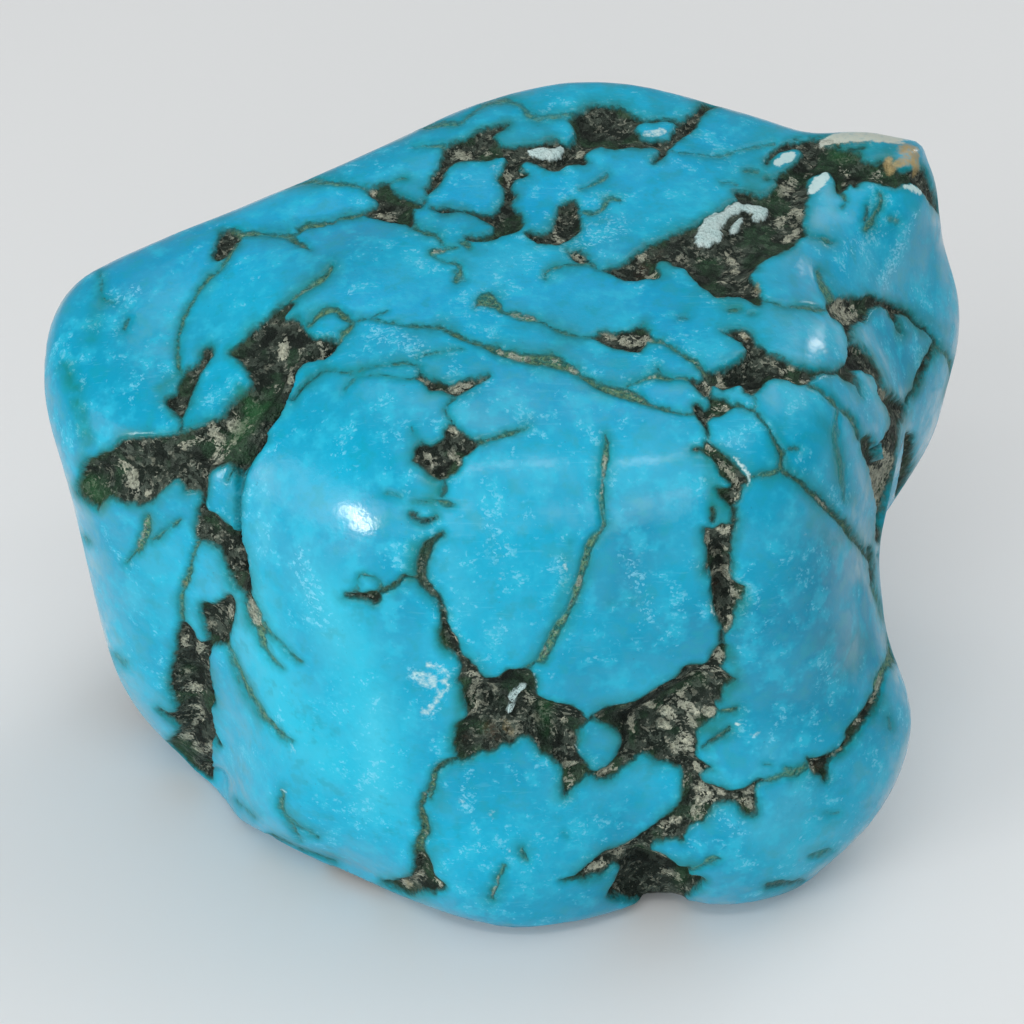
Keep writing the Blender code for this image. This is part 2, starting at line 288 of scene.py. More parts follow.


# Dark matrix, outlines traced in the photograph's pixels.
MATRIX = {
    "lobe_fork": """201,350 208,344 214,348 215,353 209,362 202,372 197,382 193,392 189,403 185,413 181,420
        176,417 170,410 165,405 163,399 168,394 175,392 177,384 181,376 184,370 190,366 196,361""",
    "seam": """78,478 80,470 84,461 95,455 106,452 113,447 117,440 125,437 140,436 155,435 168,433 178,431
        190,429 200,424 212,420 220,415 226,407 232,400 239,394 247,389 251,384 248,376 244,368 238,361
        231,356 227,352 236,346 244,339 250,331 256,325 264,319 271,313 277,306 284,300 291,299 296,303
        290,310 285,317 292,316 299,319 304,325 307,331 313,336 322,337 331,336 337,335 338,341 334,347
        330,353 326,357 318,358 310,361 303,361 298,366 294,375 291,385 287,395 283,405 278,415 271,422
        266,431 259,443 251,455 244,466 238,476 237,482 233,470 228,463 222,466 215,469 210,472 208,480
        207,500 207,510 213,512 218,516 222,520 227,525 232,531 238,538 241,545 244,556 246,566 249,580
        250,595 252,603 247,603 240,592 233,590 229,583 227,577 224,568 222,560 219,553 216,549 210,546
        203,543 197,543 195,535 195,520 197,508 200,500 200,494 197,492 190,493 184,494 182,486 178,481
        172,483 166,489 160,494 155,500 150,504 140,505 130,506 118,502 112,500 105,500 100,508 97,512
        90,505 80,498 74,490""",
    "lower_left": """180,621 187,624 192,632 197,641 203,643 206,640 203,633 201,622 199,612 199,606 203,602
        212,604 220,600 224,596 228,593 233,600 236,608 234,618 231,627 229,635 229,644 225,648 216,646
        210,648 207,655 207,665 208,675 210,688 212,693 214,700 213,707 209,708 210,715 211,722 213,730
        216,736 220,742 222,747 217,745 212,741 210,746 210,753 210,760 212,770 212,782 202,780 192,776
        183,771 175,765 168,757 164,748 166,741 174,735 177,730 174,725 169,720 163,716 158,712 157,707
        160,708 166,712 172,714 176,711 173,704 170,697 168,690 168,683 169,675 171,665 173,655 176,645
        177,632 178,623""",
    "mid_pair": """414,363 420,366 422,373 428,376 437,378 444,381 450,383 456,382 462,379 468,377 476,377
        483,374 490,372 491,376 486,380 478,384 470,389 463,393 456,397 450,395 442,391 435,390 429,390
        426,385 418,381 410,378 416,374 418,369""",
    "star": """452,420 457,424 461,430 467,434 473,438 480,440 478,447 473,452 468,456 463,457 463,463 460,468
        456,473 450,477 446,481 440,481 433,480 427,475 422,468 416,465 409,462 412,456 414,449 417,443
        422,441 428,444 434,443 440,440 445,435 443,430 446,424""",
    "ring_foot": """352,592 360,593 370,592 379,590 382,597 378,606 372,607 364,603 354,601 343,599 344,593""",
    "middle_knot": """590,337 595,333 601,330 608,330 614,332 622,331 630,328 636,325 641,322 646,325 651,331
        655,337 650,340 646,345 641,351 636,352 628,350 620,349 613,347 606,344 600,341 595,339""",
    "right_band": """720,329 727,328 735,328 742,328 748,330 753,334 756,339 760,344 765,348 772,352 780,355
        788,359 795,362 803,365 810,368 817,370 825,370 833,370 838,368 843,366 848,361 849,355 848,348
        849,342 855,342 860,345 866,348 870,352 874,357 877,363 880,369 883,375 885,381 887,386 890,389
        894,393 898,397 902,401 907,405 908,410 906,416 905,424 904,432 903,440 902,450 903,458 907,460
        907,468 907,476 908,483 904,490 901,498 897,506 893,514 891,524 889,534 886,541 883,541 881,533
        881,523 880,512 879,505 876,498 876,490 873,480 870,470 867,462 864,455 862,447 861,440 862,434
        865,438 869,444 874,447 880,446 882,442 886,440 888,434 890,427 891,418 890,411 887,404 883,399
        880,393 880,387 877,381 874,376 870,373 865,370 860,369 856,372 856,378 858,384 855,385 850,383
        846,380 842,377 838,374 830,374 822,374 817,376 815,380 811,384 806,385 800,384 793,382 788,379
        780,378 772,378 766,381 763,387 759,391 754,395 748,394 744,392 742,388 741,384 735,386 728,388
        722,390 717,386 712,384 712,390 712,396 716,397 721,396 727,399 732,402 737,405 733,408 729,411
        724,414 718,416 712,418 707,421 708,428 710,436 708,440 706,434 704,428 701,422 698,419 694,415
        692,411 692,406 694,402 698,402 702,405 706,408 709,404 708,398 704,397 700,393 697,389 693,385
        690,381 686,378 690,377 696,379 702,378 700,372 697,366 699,363 704,367 710,369 718,367 725,364
        732,361 738,357 744,353 745,347 741,341 735,337 728,334""",
    "right_strip": """703,441 707,438 711,441 715,445 720,449 725,453 731,457 736,462 741,468 746,474 749,479
        748,484 744,488 741,494 739,500 736,506 732,509 728,506 725,503 722,500 719,497 717,492 716,488
        722,487 728,487 731,484 727,481 722,478 719,473 716,468 713,462 709,457 704,453 700,450 696,452
        692,449 693,446 698,446 702,446""",
    "right_wedge": """702,527 708,527 714,529 719,526 723,523 728,524 732,521 735,518 737,524 735,531 734,538
        732,545 732,553 733,561 734,568 733,575 734,579 739,582 744,585 747,588 746,593 743,598 740,604
        738,609 735,613 734,619 733,626 730,631 727,635 723,635 721,629 719,623 716,620 714,615 712,609
        711,602 711,594 711,586 711,578 709,572 706,574 704,568 706,562 706,555 706,548 704,542 703,536
        702,531""",
    "low_band": """497,678 503,672 511,669 520,669 528,668 533,671 536,678 537,685 536,690 538,697 545,700
        553,702 562,704 570,705 576,708 581,712 585,717 588,720 590,718 594,714 600,710 606,707 612,706
        620,705 630,703 638,700 645,697 652,692 657,688 663,685 669,682 675,679 679,675 681,670 686,667
        693,665 700,665 706,664 709,660 712,653 717,647 722,643 727,645 728,652 727,660 724,666 722,669
        728,674 733,678 737,681 733,684 729,687 725,690 724,696 722,702 718,706 719,711 718,717 713,721
        706,722 700,728 698,735 697,742 698,750 697,756 700,761 706,764 711,767 714,770 710,772 704,773
        701,776 702,781 706,784 711,786 717,787 722,789 728,790 735,790 741,789 746,787 751,784 755,782
        759,780 764,779 770,779 776,779 772,783 766,784 760,786 757,791 757,797 757,805 757,812 757,817
        751,817 745,815 741,811 737,807 731,804 726,803 722,803 716,805 712,808 710,813 706,818 703,822
        697,824 692,828 688,832 685,834 684,838 687,842 684,844 680,842 676,840 670,841 664,843 657,845
        652,848 651,852 657,853 662,855 667,857 671,861 675,865 680,868 684,868 689,867 692,869 688,873
        687,876 692,878 697,877 702,878 706,881 702,886 698,890 693,893 689,897 686,901 678,905 660,906
        640,904 622,902 606,899 610,892 614,885 618,877 620,870 618,865 613,867 608,872 602,876 596,877
        590,879 585,880 577,880 568,882 560,883 560,881 568,878 575,876 581,871 586,867 592,862 600,856
        608,851 615,848 622,845 628,843 635,838 640,835 645,832 650,829 657,823 665,816 672,810 678,804
        681,797 682,790 681,783 680,775 678,769 672,766 665,764 658,763 652,760 648,757 643,757 638,759
        632,763 628,767 623,771 617,776 611,779 604,780 597,780 593,778 588,778 583,780 579,784 575,788
        571,792 567,797 563,797 562,793 562,787 562,780 562,775 560,768 556,765 553,762 550,758 546,757
        541,755 537,751 533,745 529,740 523,739 518,742 514,747 510,748 504,744 500,748 497,752 492,754
        488,755 482,753 478,756 472,760 466,763 460,763 455,759 457,755 453,750 453,744 453,738 454,732
        455,726 459,722 463,720 466,716 464,710 462,702 461,695 461,686 457,683 457,677 460,670 459,662
        455,658 450,654 444,652 440,646 438,638 438,630 440,622 440,615 443,612 447,615 449,623 452,630
        457,637 459,644 462,652 466,658 472,663 478,668 481,674 486,678""",
    "bottom_foot": """414,852 420,850 426,852 429,858 431,864 433,870 434,875 438,880 444,884 447,888 444,892
        438,893 432,896 425,893 418,894 410,895 404,893 397,891 391,888 385,884 380,880 388,880 395,880
        402,879 408,877 412,874 413,866 413,858""",
    "corner_blob": """806,757 812,757 818,757 822,756 828,754 834,750 840,746 845,741 846,735 848,729 852,723
        857,717 861,712 865,706 869,700 872,693 875,687 882,690 880,697 878,704 875,711 871,717 867,722
        863,727 858,733 855,738 852,743 848,748 843,753 838,757 833,760 828,765 828,771 830,777 829,783
        825,783 822,778 818,776 813,774 809,770 808,764""",
    "top_star": """362,187 368,186 374,185 380,183 385,182 390,182 392,187 396,190 402,193 408,196 414,198
        420,199 427,197 428,201 424,205 420,207 414,207 414,212 415,218 415,224 412,228 408,226 402,223
        395,222 388,221 380,219 372,217 365,216 360,215 365,212 370,207 376,203 375,199 370,196 366,192""",
    "top_crest": """441,148 450,143 460,140 468,136 475,131 484,127 494,126 503,123 512,122 508,127 500,131
        494,137 500,142 508,146 516,146 524,144 532,143 540,142 548,139 556,137 562,139 566,142 570,140
        575,135 575,130 572,125 568,120 570,116 576,112 582,107 590,104 598,103 606,103 614,104 621,106
        628,110 634,114 640,117 650,117 660,117 668,118 676,118 684,118 690,114 696,108 701,103 708,101
        716,102 722,104 716,107 709,110 704,115 700,121 698,127 693,131 688,135 681,139 675,143 671,148
        668,153 664,158 658,162 652,164 651,160 656,156 658,151 654,148 648,146 640,147 632,147 624,148
        616,149 608,149 600,147 594,149 588,151 586,156 588,161 584,164 576,164 568,164 564,168 556,170
        548,169 540,165 532,163 524,161 520,166 526,170 530,174 524,177 518,178 514,181 512,186 515,191
        517,197 513,200 513,205 518,209 522,213 524,219 523,225 520,230 513,232 505,234 498,237 490,239
        482,240 474,240 466,240 463,236 468,233 476,233 484,233 490,230 493,226 488,222 481,219 474,215
        468,212 460,210 452,212 444,213 436,211 430,209 430,205 438,205 446,206 455,208 463,208 472,210
        480,212 488,214 494,214 497,208 500,203 503,197 504,191 501,186 497,181 496,176 500,171 503,166
        506,160 503,156 496,158 488,160 480,161 470,160 460,161 452,165 447,170 445,176 441,182 437,187
        432,192 427,197 425,192 427,184 431,176 436,169 440,162 442,155""",
    "top_drop": """557,207 561,202 566,199 571,198 576,200 580,204 581,210 581,217 583,223 581,229 577,234
        571,238 566,241 560,243 552,243 544,243 537,243 532,239 527,235 523,231 530,230 538,231 545,231
        550,228 553,222 555,214""",
    "small_knot": """566,247 571,250 577,250 584,252 589,256 592,260 588,262 582,263 576,261 571,257 567,252""",
    "top_right": """598,269 603,267 612,266 620,263 627,259 632,255 637,250 642,246 648,243 655,240 662,236
        669,233 676,230 684,228 691,225 697,221 704,218 712,213 720,208 728,203 736,199 734,195 732,189
        740,189 748,190 756,192 763,193 770,190 775,186 777,181 773,178 768,180 763,179 767,175 771,177
        776,176 784,171 792,165 798,158 801,152 798,149 792,148 784,150 777,154 771,160 767,165 764,163
        766,156 771,150 778,145 786,142 794,139 802,137 810,136 817,136 822,138 825,144 829,149 835,150
        840,147 846,151 853,153 860,157 868,160 876,161 884,159 890,157 895,160 897,165 902,170 910,169
        917,167 922,167 927,172 930,178 933,184 936,191 938,198 940,206 943,214 939,214 933,207 928,200
        923,193 919,188 913,184 906,184 900,187 894,189 888,187 882,185 876,182 868,180 862,182 858,186
        854,187 851,183 848,186 846,191 842,195 837,193 835,187 834,181 831,177 828,171 820,173 813,176
        808,180 808,187 811,194 808,198 807,204 806,211 805,218 806,225 808,231 812,236 806,236 800,239
        796,245 790,249 783,252 776,255 768,258 764,261 760,265 755,270 750,275 752,279 757,282 761,288
        762,295 765,300 763,303 760,306 756,304 751,301 745,298 738,296 730,296 724,297 718,297 713,294
        708,289 703,287 697,282 694,277 690,271 686,267 680,266 674,265 670,262 664,259 658,260 657,265
        660,270 662,276 657,278 650,278 645,278 638,280 630,280 622,279 616,276 610,273 603,270""",
    "cheek": """828,299 834,297 842,295 850,296 858,298 864,296 869,293 874,294 879,298 888,301 896,304
        903,307 910,311 915,316 919,322 925,327 931,333 936,338 939,343 938,349 936,354 932,358 928,363
        926,369 924,375 921,382 918,389 915,395 911,399 909,404 907,405 906,400 910,393 913,387 916,379
        918,371 921,364 925,357 929,351 932,344 933,340 928,335 922,330 916,325 911,320 906,316 900,315
        898,318 899,323 901,328 903,333 902,335 899,332 897,327 894,321 890,317 888,311 884,307 878,306
        874,309 871,313 868,317 865,322 858,323 854,325 853,332 854,338 853,344 848,344 847,336 845,328
        842,323 836,320 830,316 827,310 826,304""",
    "left_top": """222,226 232,225 242,229 243,233 241,238 236,243 232,250 226,256 214,262 212,250 216,238""",
}

# Turquoise that stands inside the matrix outlines.
ISLANDS = {
    "crest": """638,124 645,122 653,122 661,121 669,121 674,123 676,128 672,133 668,138 661,139 652,139 645,138
        640,134 636,129""",
    "low": """588,722 584,727 582,733 580,740 578,748 580,754 584,760 588,765 592,770 596,772 601,769 606,766
        611,763 615,759 617,753 620,747 622,741 619,735 614,730 607,726 601,723 597,722 592,720""",
    "tear": """882,446 886,442 890,443 891,450 889,457 885,461 881,458 880,452""",
    "teal": """739,182 746,179 754,180 762,182 769,184 766,188 760,190 752,189 744,187""",
    "tip": """858,146 863,142 870,140 878,141 886,144 893,149 896,152 893,156 886,157 877,158 868,156 861,152""",
}

# Veins: tone (0 gold-green, 1 black), strength, then u,v,width along the vein.
VEINS = [
    (.85, 1., "868,440,10 874,452,12 880,468,12 884,490,10"), (.85, 1., "908,440,14 906,465,16 900,490,14 892,515,12"),
    (.75, 1., "241,560,5 244,582,7 247,600,9 251,612,13 256,624,12 263,634,6"),
    (.9, 1., "812,147,7 828,149,9 844,151,10 858,155,8"), (.8, 1., "838,144,5 842,152,6"),
    (.85, 1., "892,448,14 897,474,20 892,500,22 886,522,18 882,538,12"),
    (1., 1., "796,142,8 812,141,9 830,141,7"), (.8, .9, "830,147,4 850,148,4 864,147,3"),
    (1., 1., "264,436,4 252,456,4 243,472,3.5 239,488,2.5 237,508,2 237,524,2.5 238,540,4"),
    (.6, .9, "233,464,3 231,472,2.6 228,481,2"),
    (.35, .9, "240,236,7 232,248,6 225,260,6 218,270,5 208,277,5 199,288,5.5 192,299,6 186,312,6 180,325,6 177,338,5.5 177,352,5 178,364,5 182,374,5"),
    (.2, .6, "100,272,3 101,283,3.5 100,293,3.5 103,299,3 113,301,3"),
    (.5, .6, "127,318,5 124,328,6"),
    (.9, .9, "181,420,3 182,426,3 180,431,3"),
    (.35, .95, "290,300,6 300,293,6.5 308,288,7 316,283,8 323,276,8 329,269,7 332,264,5"),
    (.45, .95, "309,325,6 315,317,7 324,311,8 333,309,8 341,313,8 348,318,7 352,321,7 348,328,7 341,334,7 336,340,7 330,345,6"),
    (.5, .8, "352,321,4 362,318,3 370,318,3 378,314,3 388,310,2"),
    (.5, .9, "370,319,3 380,320,3 392,322,3.5 402,325,3.5 415,326,3.5 428,327,4 437,326,6 442,326,7 446,329,6.5 451,331,6 457,334,6 463,338,5 470,341,4.5 478,343,5 485,345,6 492,348,8 498,350,10 505,353,11 512,354,12.5 520,356,13 528,357,13 536,358,14 545,359,14 553,360,14 560,363,13 566,366,11 572,369,10 578,372,8 583,376,6.5 590,380,6.5 596,384,7 602,386,9 609,388,11 616,390,12 623,392,13 630,394,13.5 637,397,12 643,400,9 650,404,5 658,406,4.5 665,409,4 672,411,3.5 680,413,3.5 688,414,3.5 694,413,4"),
    (.8, .95, "292,398,4 300,388,4 310,379,4 320,372,3.5 328,369,3.5 335,369,3"),
    (.45, .8, "340,371,3 350,372,3 362,370,3 372,366,3 385,364,3 400,363,3 412,363,3.5 420,366,3.5"),
    (.4, .75, "350,376,2.5 358,375,2.5 370,375,2.5 383,375,2.5 395,377,2.5 405,378,2.5 414,378,3"),
    (.25, .6, "345,390,4 350,382,5 355,376,5"),
    (.15, .7, "417,358,3 425,354,3.5 436,352,4 442,351,4 448,350,4 456,348,3.5 463,349,2"),
    (.6, .9, "454,397,6 450,401,4.5 446,406,4.5 445,412,4.5 449,418,5 452,421,6"),
    (.3, .6, "412,428,4 415,435,4"),
    (.45, .95, "480,441,7 488,440,5.5 495,438,6.5 502,435,6 510,433,5.5 518,430,4.5 525,427,4 529,426,2.5"),
    (.3, .85, "606,434,3 606,440,6 606,446,7.5 605,455,8 604,463,8 603,472,7 602,480,6.5 601,490,6.5 601,498,6.5 602,505,6 603,514,7 604,521,8 604,526,8 601,531,7 596,536,8.5 591,543,10 588,550,10 586,558,11 584,566,10 582,574,10 580,582,10 577,590,9.5 575,598,9 572,606,9 568,613,9 563,621,9.5 558,629,10 553,637,11 548,647,11.5 545,655,12 541,661,10 537,662,6 532,665,5 528,668,5"),
    (.4, .85, "475,306,4 480,301,10 486,298,17 492,300,15 497,304,8 500,309,5 505,311,5.5 513,314,8 520,315,9.5 528,317,9.5 535,319,7 541,321,4.5 548,324,4.5 555,328,5.5 560,332,4.5 568,334,4.5 576,335,4 583,337,3 590,337,3.5"),
    (.3, .85, "650,338,8 658,340,5.5 663,341,5 668,344,5.5 674,348,5.5 680,352,5.5 686,356,6 692,359,6.5 697,363,7 702,368,8 706,374,9 708,381,8"),
    (.35, .85, "625,386,3 632,383,4 638,381,4 644,378,5 650,376,7 656,375,9 661,376,10 667,378,6.5 673,378,5 680,377,5 687,378,5.5"),
    (.6, .8, "658,368,3.5 660,375,5"),
    (.6, .9, "736,405,5 745,407,4 750,409,6 754,409,6 757,413,4.5 761,418,4 766,424,4 770,430,4.5 774,437,4.5 777,443,6 780,449,8.5 782,455,7.5 782,461,6.5 781,467,9 784,472,7 790,475,6.5 797,480,6 803,485,6 809,491,7 815,496,8 821,502,8.5 827,507,9 833,513,8.5 839,520,7.5 845,527,7.5 850,533,7.5 854,539,7.5 858,544,6.5 863,550,5.5 867,555,5.5 870,558,6"),
    (.2, .5, "754,395,4 756,401,4 755,408,4"),
    (.25, .8, "781,469,8 776,472,7 770,474,8 763,475,8 757,476,7 750,477,5"),
    (.5, .6, "788,449,3.5 797,449,6"),
    (.9, .95, "870,548,4 871,556,7 872,563,6 872,570,5.5 873,578,5.5 873,585,4.5"),
    (.4, .85, "873,585,4 875,592,5 878,600,5 880,607,4 882,613,3 884,620,2"),
    (.35, .7, "879,556,3 882,564,2.5 885,573,2.5 887,580,2"),
    (.4, .85, "890,636,5 892,641,9 894,646,11 894,652,13 892,658,12 889,663,10 885,668,9 882,673,9 880,680,10 878,687,10"),
    (.5, .85, "811,385,6 817,388,5 823,391,5.5 828,396,6 833,401,6.5 838,406,5.5 844,411,5.5 850,417,5.5 855,423,6 858,430,6 861,438,7"),
    (.8, .6, "858,384,5 860,390,4 863,396,3"),
    (.25, .8, "937,347,6 943,352,4.5 948,357,5 951,364,5.5 953,372,4.5 953,380,5.5 951,387,6.5 950,394,6.5 949,400,4"),
    (.15, .85, "765,300,6 769,301,3.5 774,302,4 780,304,4.5 786,306,4.5 793,306,4.5 800,306,5.5 807,307,5.5 815,309,5.5 822,310,5 828,309,5"),
    (.3, .8, "818,271,5 820,276,8 822,282,9 825,288,9 829,294,10 833,299,12"),
    (.3, .8, "729,310,5 735,309,6 740,309,4"),
    (.15, .7, "750,313,4 755,313,4"),
    (.3, .6, "681,317,4 687,317,4"),
    (.85, .9, "713,508,5 714,515,6 713,521,6"),
    (.8, .9, "734,508,6 735,515,6 734,522,7"),
    (.9, .85, "722,633,6 722,640,6 722,646,6"),
    (.4, .9, "722,713,5 728,712,6 733,712,7 737,709,4.5"),
    (.7, .9, "730,728,4.5 727,732,6.5 722,735,7 717,738,7 712,741,6.5 708,745,5.5 704,748,4"),
    (.12, .75, "766,782,6 772,780,7 778,778,7 784,776,8 790,774,10 796,773,11 802,770,10 807,766,9"),
    (.25, .85, "880,193,5 882,199,5.5 880,206,6 876,212,7 873,219,9 869,225,8 866,229,6"),
    (.7, .85, "868,206,5 867,213,6 866,220,6"),
    (.15, .45, "890,219,8 897,221,8"),
    (.2, .8, "841,192,6 846,198,6 847,203,6 842,207,4.5"),
    (.15, .75, "812,236,4 820,237,4.5 826,240,6.5 830,243,5.5 834,242,3.5"),
    (.25, .85, "563,264,4.5 556,266,5 550,268,5.5 546,272,5.5 545,277,4.5"),
    (.25, .85, "563,264,4.5 570,264,4.5 578,263,5 590,262,5 596,266,6"),
    (.15, .65, "580,188,4 586,187,5 592,184,5.5 598,181,6 604,178,7 607,174,5"),
    (.2, .75, "583,211,4 590,213,5.5 597,212,6.5 603,208,6.5 606,203,7 607,198,9 613,198,6.5 620,198,4.5"),
    (.35, .85, "455,262,5 459,266,7 460,272,8.5 458,277,8.5 456,280,7 464,279,4"),
    (.25, .8, "463,242,6 469,244,7"),
    (.25, .85, "432,252,6 437,250,7 443,249,7 450,247,5.5 457,246,4"),
    (.3, .7, "434,255,4 442,260,4 450,262,4 455,263,5"),
    (.4, .85, "415,226,6 420,230,5.5 430,232,7 436,234,6.5 440,238,5.5 443,243,4.5"),
    (.2, .75, "392,182,5 398,179,5 405,178,3.5"),
    (.2, .7, "290,185,5 300,182,6 310,181,7 320,181,7 330,182,7 340,183,6 350,184,6 360,186,6.5 366,188,6"),
    (.45, .9, "288,236,8 298,231,5.5 300,227,8 306,225,8.5 313,224,7.5 320,223,6.5 326,221,6.5 333,220,5.5 340,217,5 348,216,5 356,214,5.5 362,213,6"),
    (.25, .8, "230,229,7 236,231,9 242,232,9 250,232,8 258,232,7 266,233,6 275,234,6 282,234,7 288,235,9"),
    (.5, .85, "288,234,9 294,238,10 299,242,7.5 305,245,6.5 309,248,3"),
    (.15, .6, "425,127,7 440,124,7 450,124,7 460,123,7 466,118,6 473,113,6 480,108,6 488,103,7 496,101,7 505,100,8 512,102,7 518,104,6 523,108,7 527,113,9 531,117,8 535,118,8 541,118,8 548,117,7 556,116,7 564,115,7 572,114,8"),
    (.2, .6, "415,146,5 425,145,6 435,145,6 443,146,7"),
    (.1, .55, "671,149,4 680,152,4 690,153,4.5 700,153,4.5 710,156,4.5 720,156,5 728,154,5.5 735,151,5 742,149,5 750,147,5.5 758,146,5.5 766,145,6 774,143,7"),
    (.25, .5, "722,182,5 729,181,6 736,184,6"),
    (.45, .6, "745,171,6 751,170,8 757,172,6"),
    (.15, .45, "838,412,7 835,425,8 836,440,9 838,455,9 841,470,9 843,485,8 844,500,6"),
    (.3, .9, "148,516,6 147,526,11 144,538,12 138,550,8 131,558,5 127,563,3"),
    (.15, .8, "180,520,4 170,527,5 160,536,5 152,541,6"),
    (.35, .9, "197,543,6 193,552,5.5 191,562,6 189,572,7 186,582,8 182,592,6 181,602,6 181,612,6 181,622,6"),
    (.75, .6, "237,480,2 238,492,1.5 237,510,1.5 236,528,2"),
    (.25, .85, "226,644,7 232,656,7 235,665,7 240,677,7.5 246,690,8 250,697,8 255,703,8 259,710,9 263,716,8 268,721,8 273,727,7.5 278,732,7 283,736,6 288,740,5 292,742,4"),
    (.35, .85, "262,624,6 268,633,5.5 276,642,5 284,650,5 291,658,5 300,663,4"),
    (.3, .85, "258,630,9 261,642,7 265,652,6 270,660,5 277,666,4 282,670,3"),
    (.2, .8, "246,608,5 252,612,9 256,618,11 252,625,9"),
    (.15, .6, "385,493,4 392,494,5 400,496,3"),
    (.4, .8, "415,502,4 430,501,5 440,502,6 447,504,7 454,505,5"),
    (.95, .9, "411,515,6 415,516,6"),
    (.9, .85, "413,519,5 422,522,6 432,521,9 436,518,7"),
    (.8, .8, "444,482,5 444,488,7 442,495,6"),
    (.8, .95, "441,535,7 435,538,8 428,545,12 424,555,14 421,565,13 421,575,12 424,583,11 430,590,10 437,597,9 441,605,9 444,613,8 444,620,9"),
    (.45, .9, "352,592,3.5 358,588,3.5 358,578,3.5 363,574,3.5 370,577,3.5 378,580,4 380,588,4.5"),
    (.75, .9, "382,591,8 390,588,8 398,583,7 402,577,5 410,578,3 420,578,3"),
    (.7, .95, "455,760,5.5 450,762,5.5 446,763,5.5 441,765,6.5 437,768,9 435,774,8 434,780,7 432,786,7 429,792,8"),
    (.25, .9, "436,775,6 434,783,6.5 432,791,9 430,799,8"),
    (.6, .95, "425,795,8 424,801,8.5 421,806,8.5 421,812,8.5 422,818,8.5 425,824,9.5 425,830,11.5 424,836,12.5 420,842,12 420,848,13 420,855,15"),
    (.3, .85, "281,792,4 281,797,6 279,802,8 280,808,9 283,814,6.5 287,819,5.5 291,825,5 294,831,5 297,836,4.5 300,841,3"),
    (.4, .8, "289,819,4 292,822,4 298,827,4 305,831,4 311,834,3.5 318,838,2.5"),
    (.6, .8, "262,837,3 270,836,5 277,839,5 285,844,4.5 293,847,4 300,850,4 308,853,3.5 316,856,3 325,859,3 335,862,2"),
    (.15, .55, "236,800,4 242,807,4 248,812,4.5 254,818,4"),
    (.1, .75, "522,847,4 522,851,6 523,855,8 526,860,6 529,862,3"),
    (.2, .85, "505,867,5 501,873,5 498,880,6 498,886,6 494,890,6 491,896,7 493,900,5"),
    (.75, .7, "768,887,7 775,886,8.5 782,885,7.5 788,884,6.5 795,883,5.5 803,881,5"),
    (.2, .6, "811,857,5 818,856,7 824,853,6.5 831,850,4"),
    (.15, .4, "828,814,4 838,813,4"),
    (.3, .5, "765,765,3.5 772,766,3.5"),
    (.2, .5, "785,769,5 792,770,6"),
    (.5, .35, "888,718,6 890,728,6"),
    (.2, .7, "690,872,5 696,868,5 703,865,6 710,861,9 716,859,8 720,860,4"),
    (.3, .7, "84,538,4 88,543,4"),
    (.2, .4, "115,655,8 124,664,8"),
    (.3, .5, "565,834,4 567,836,3"),
    (.35, .6, "455,270,6 462,277,8"),
]
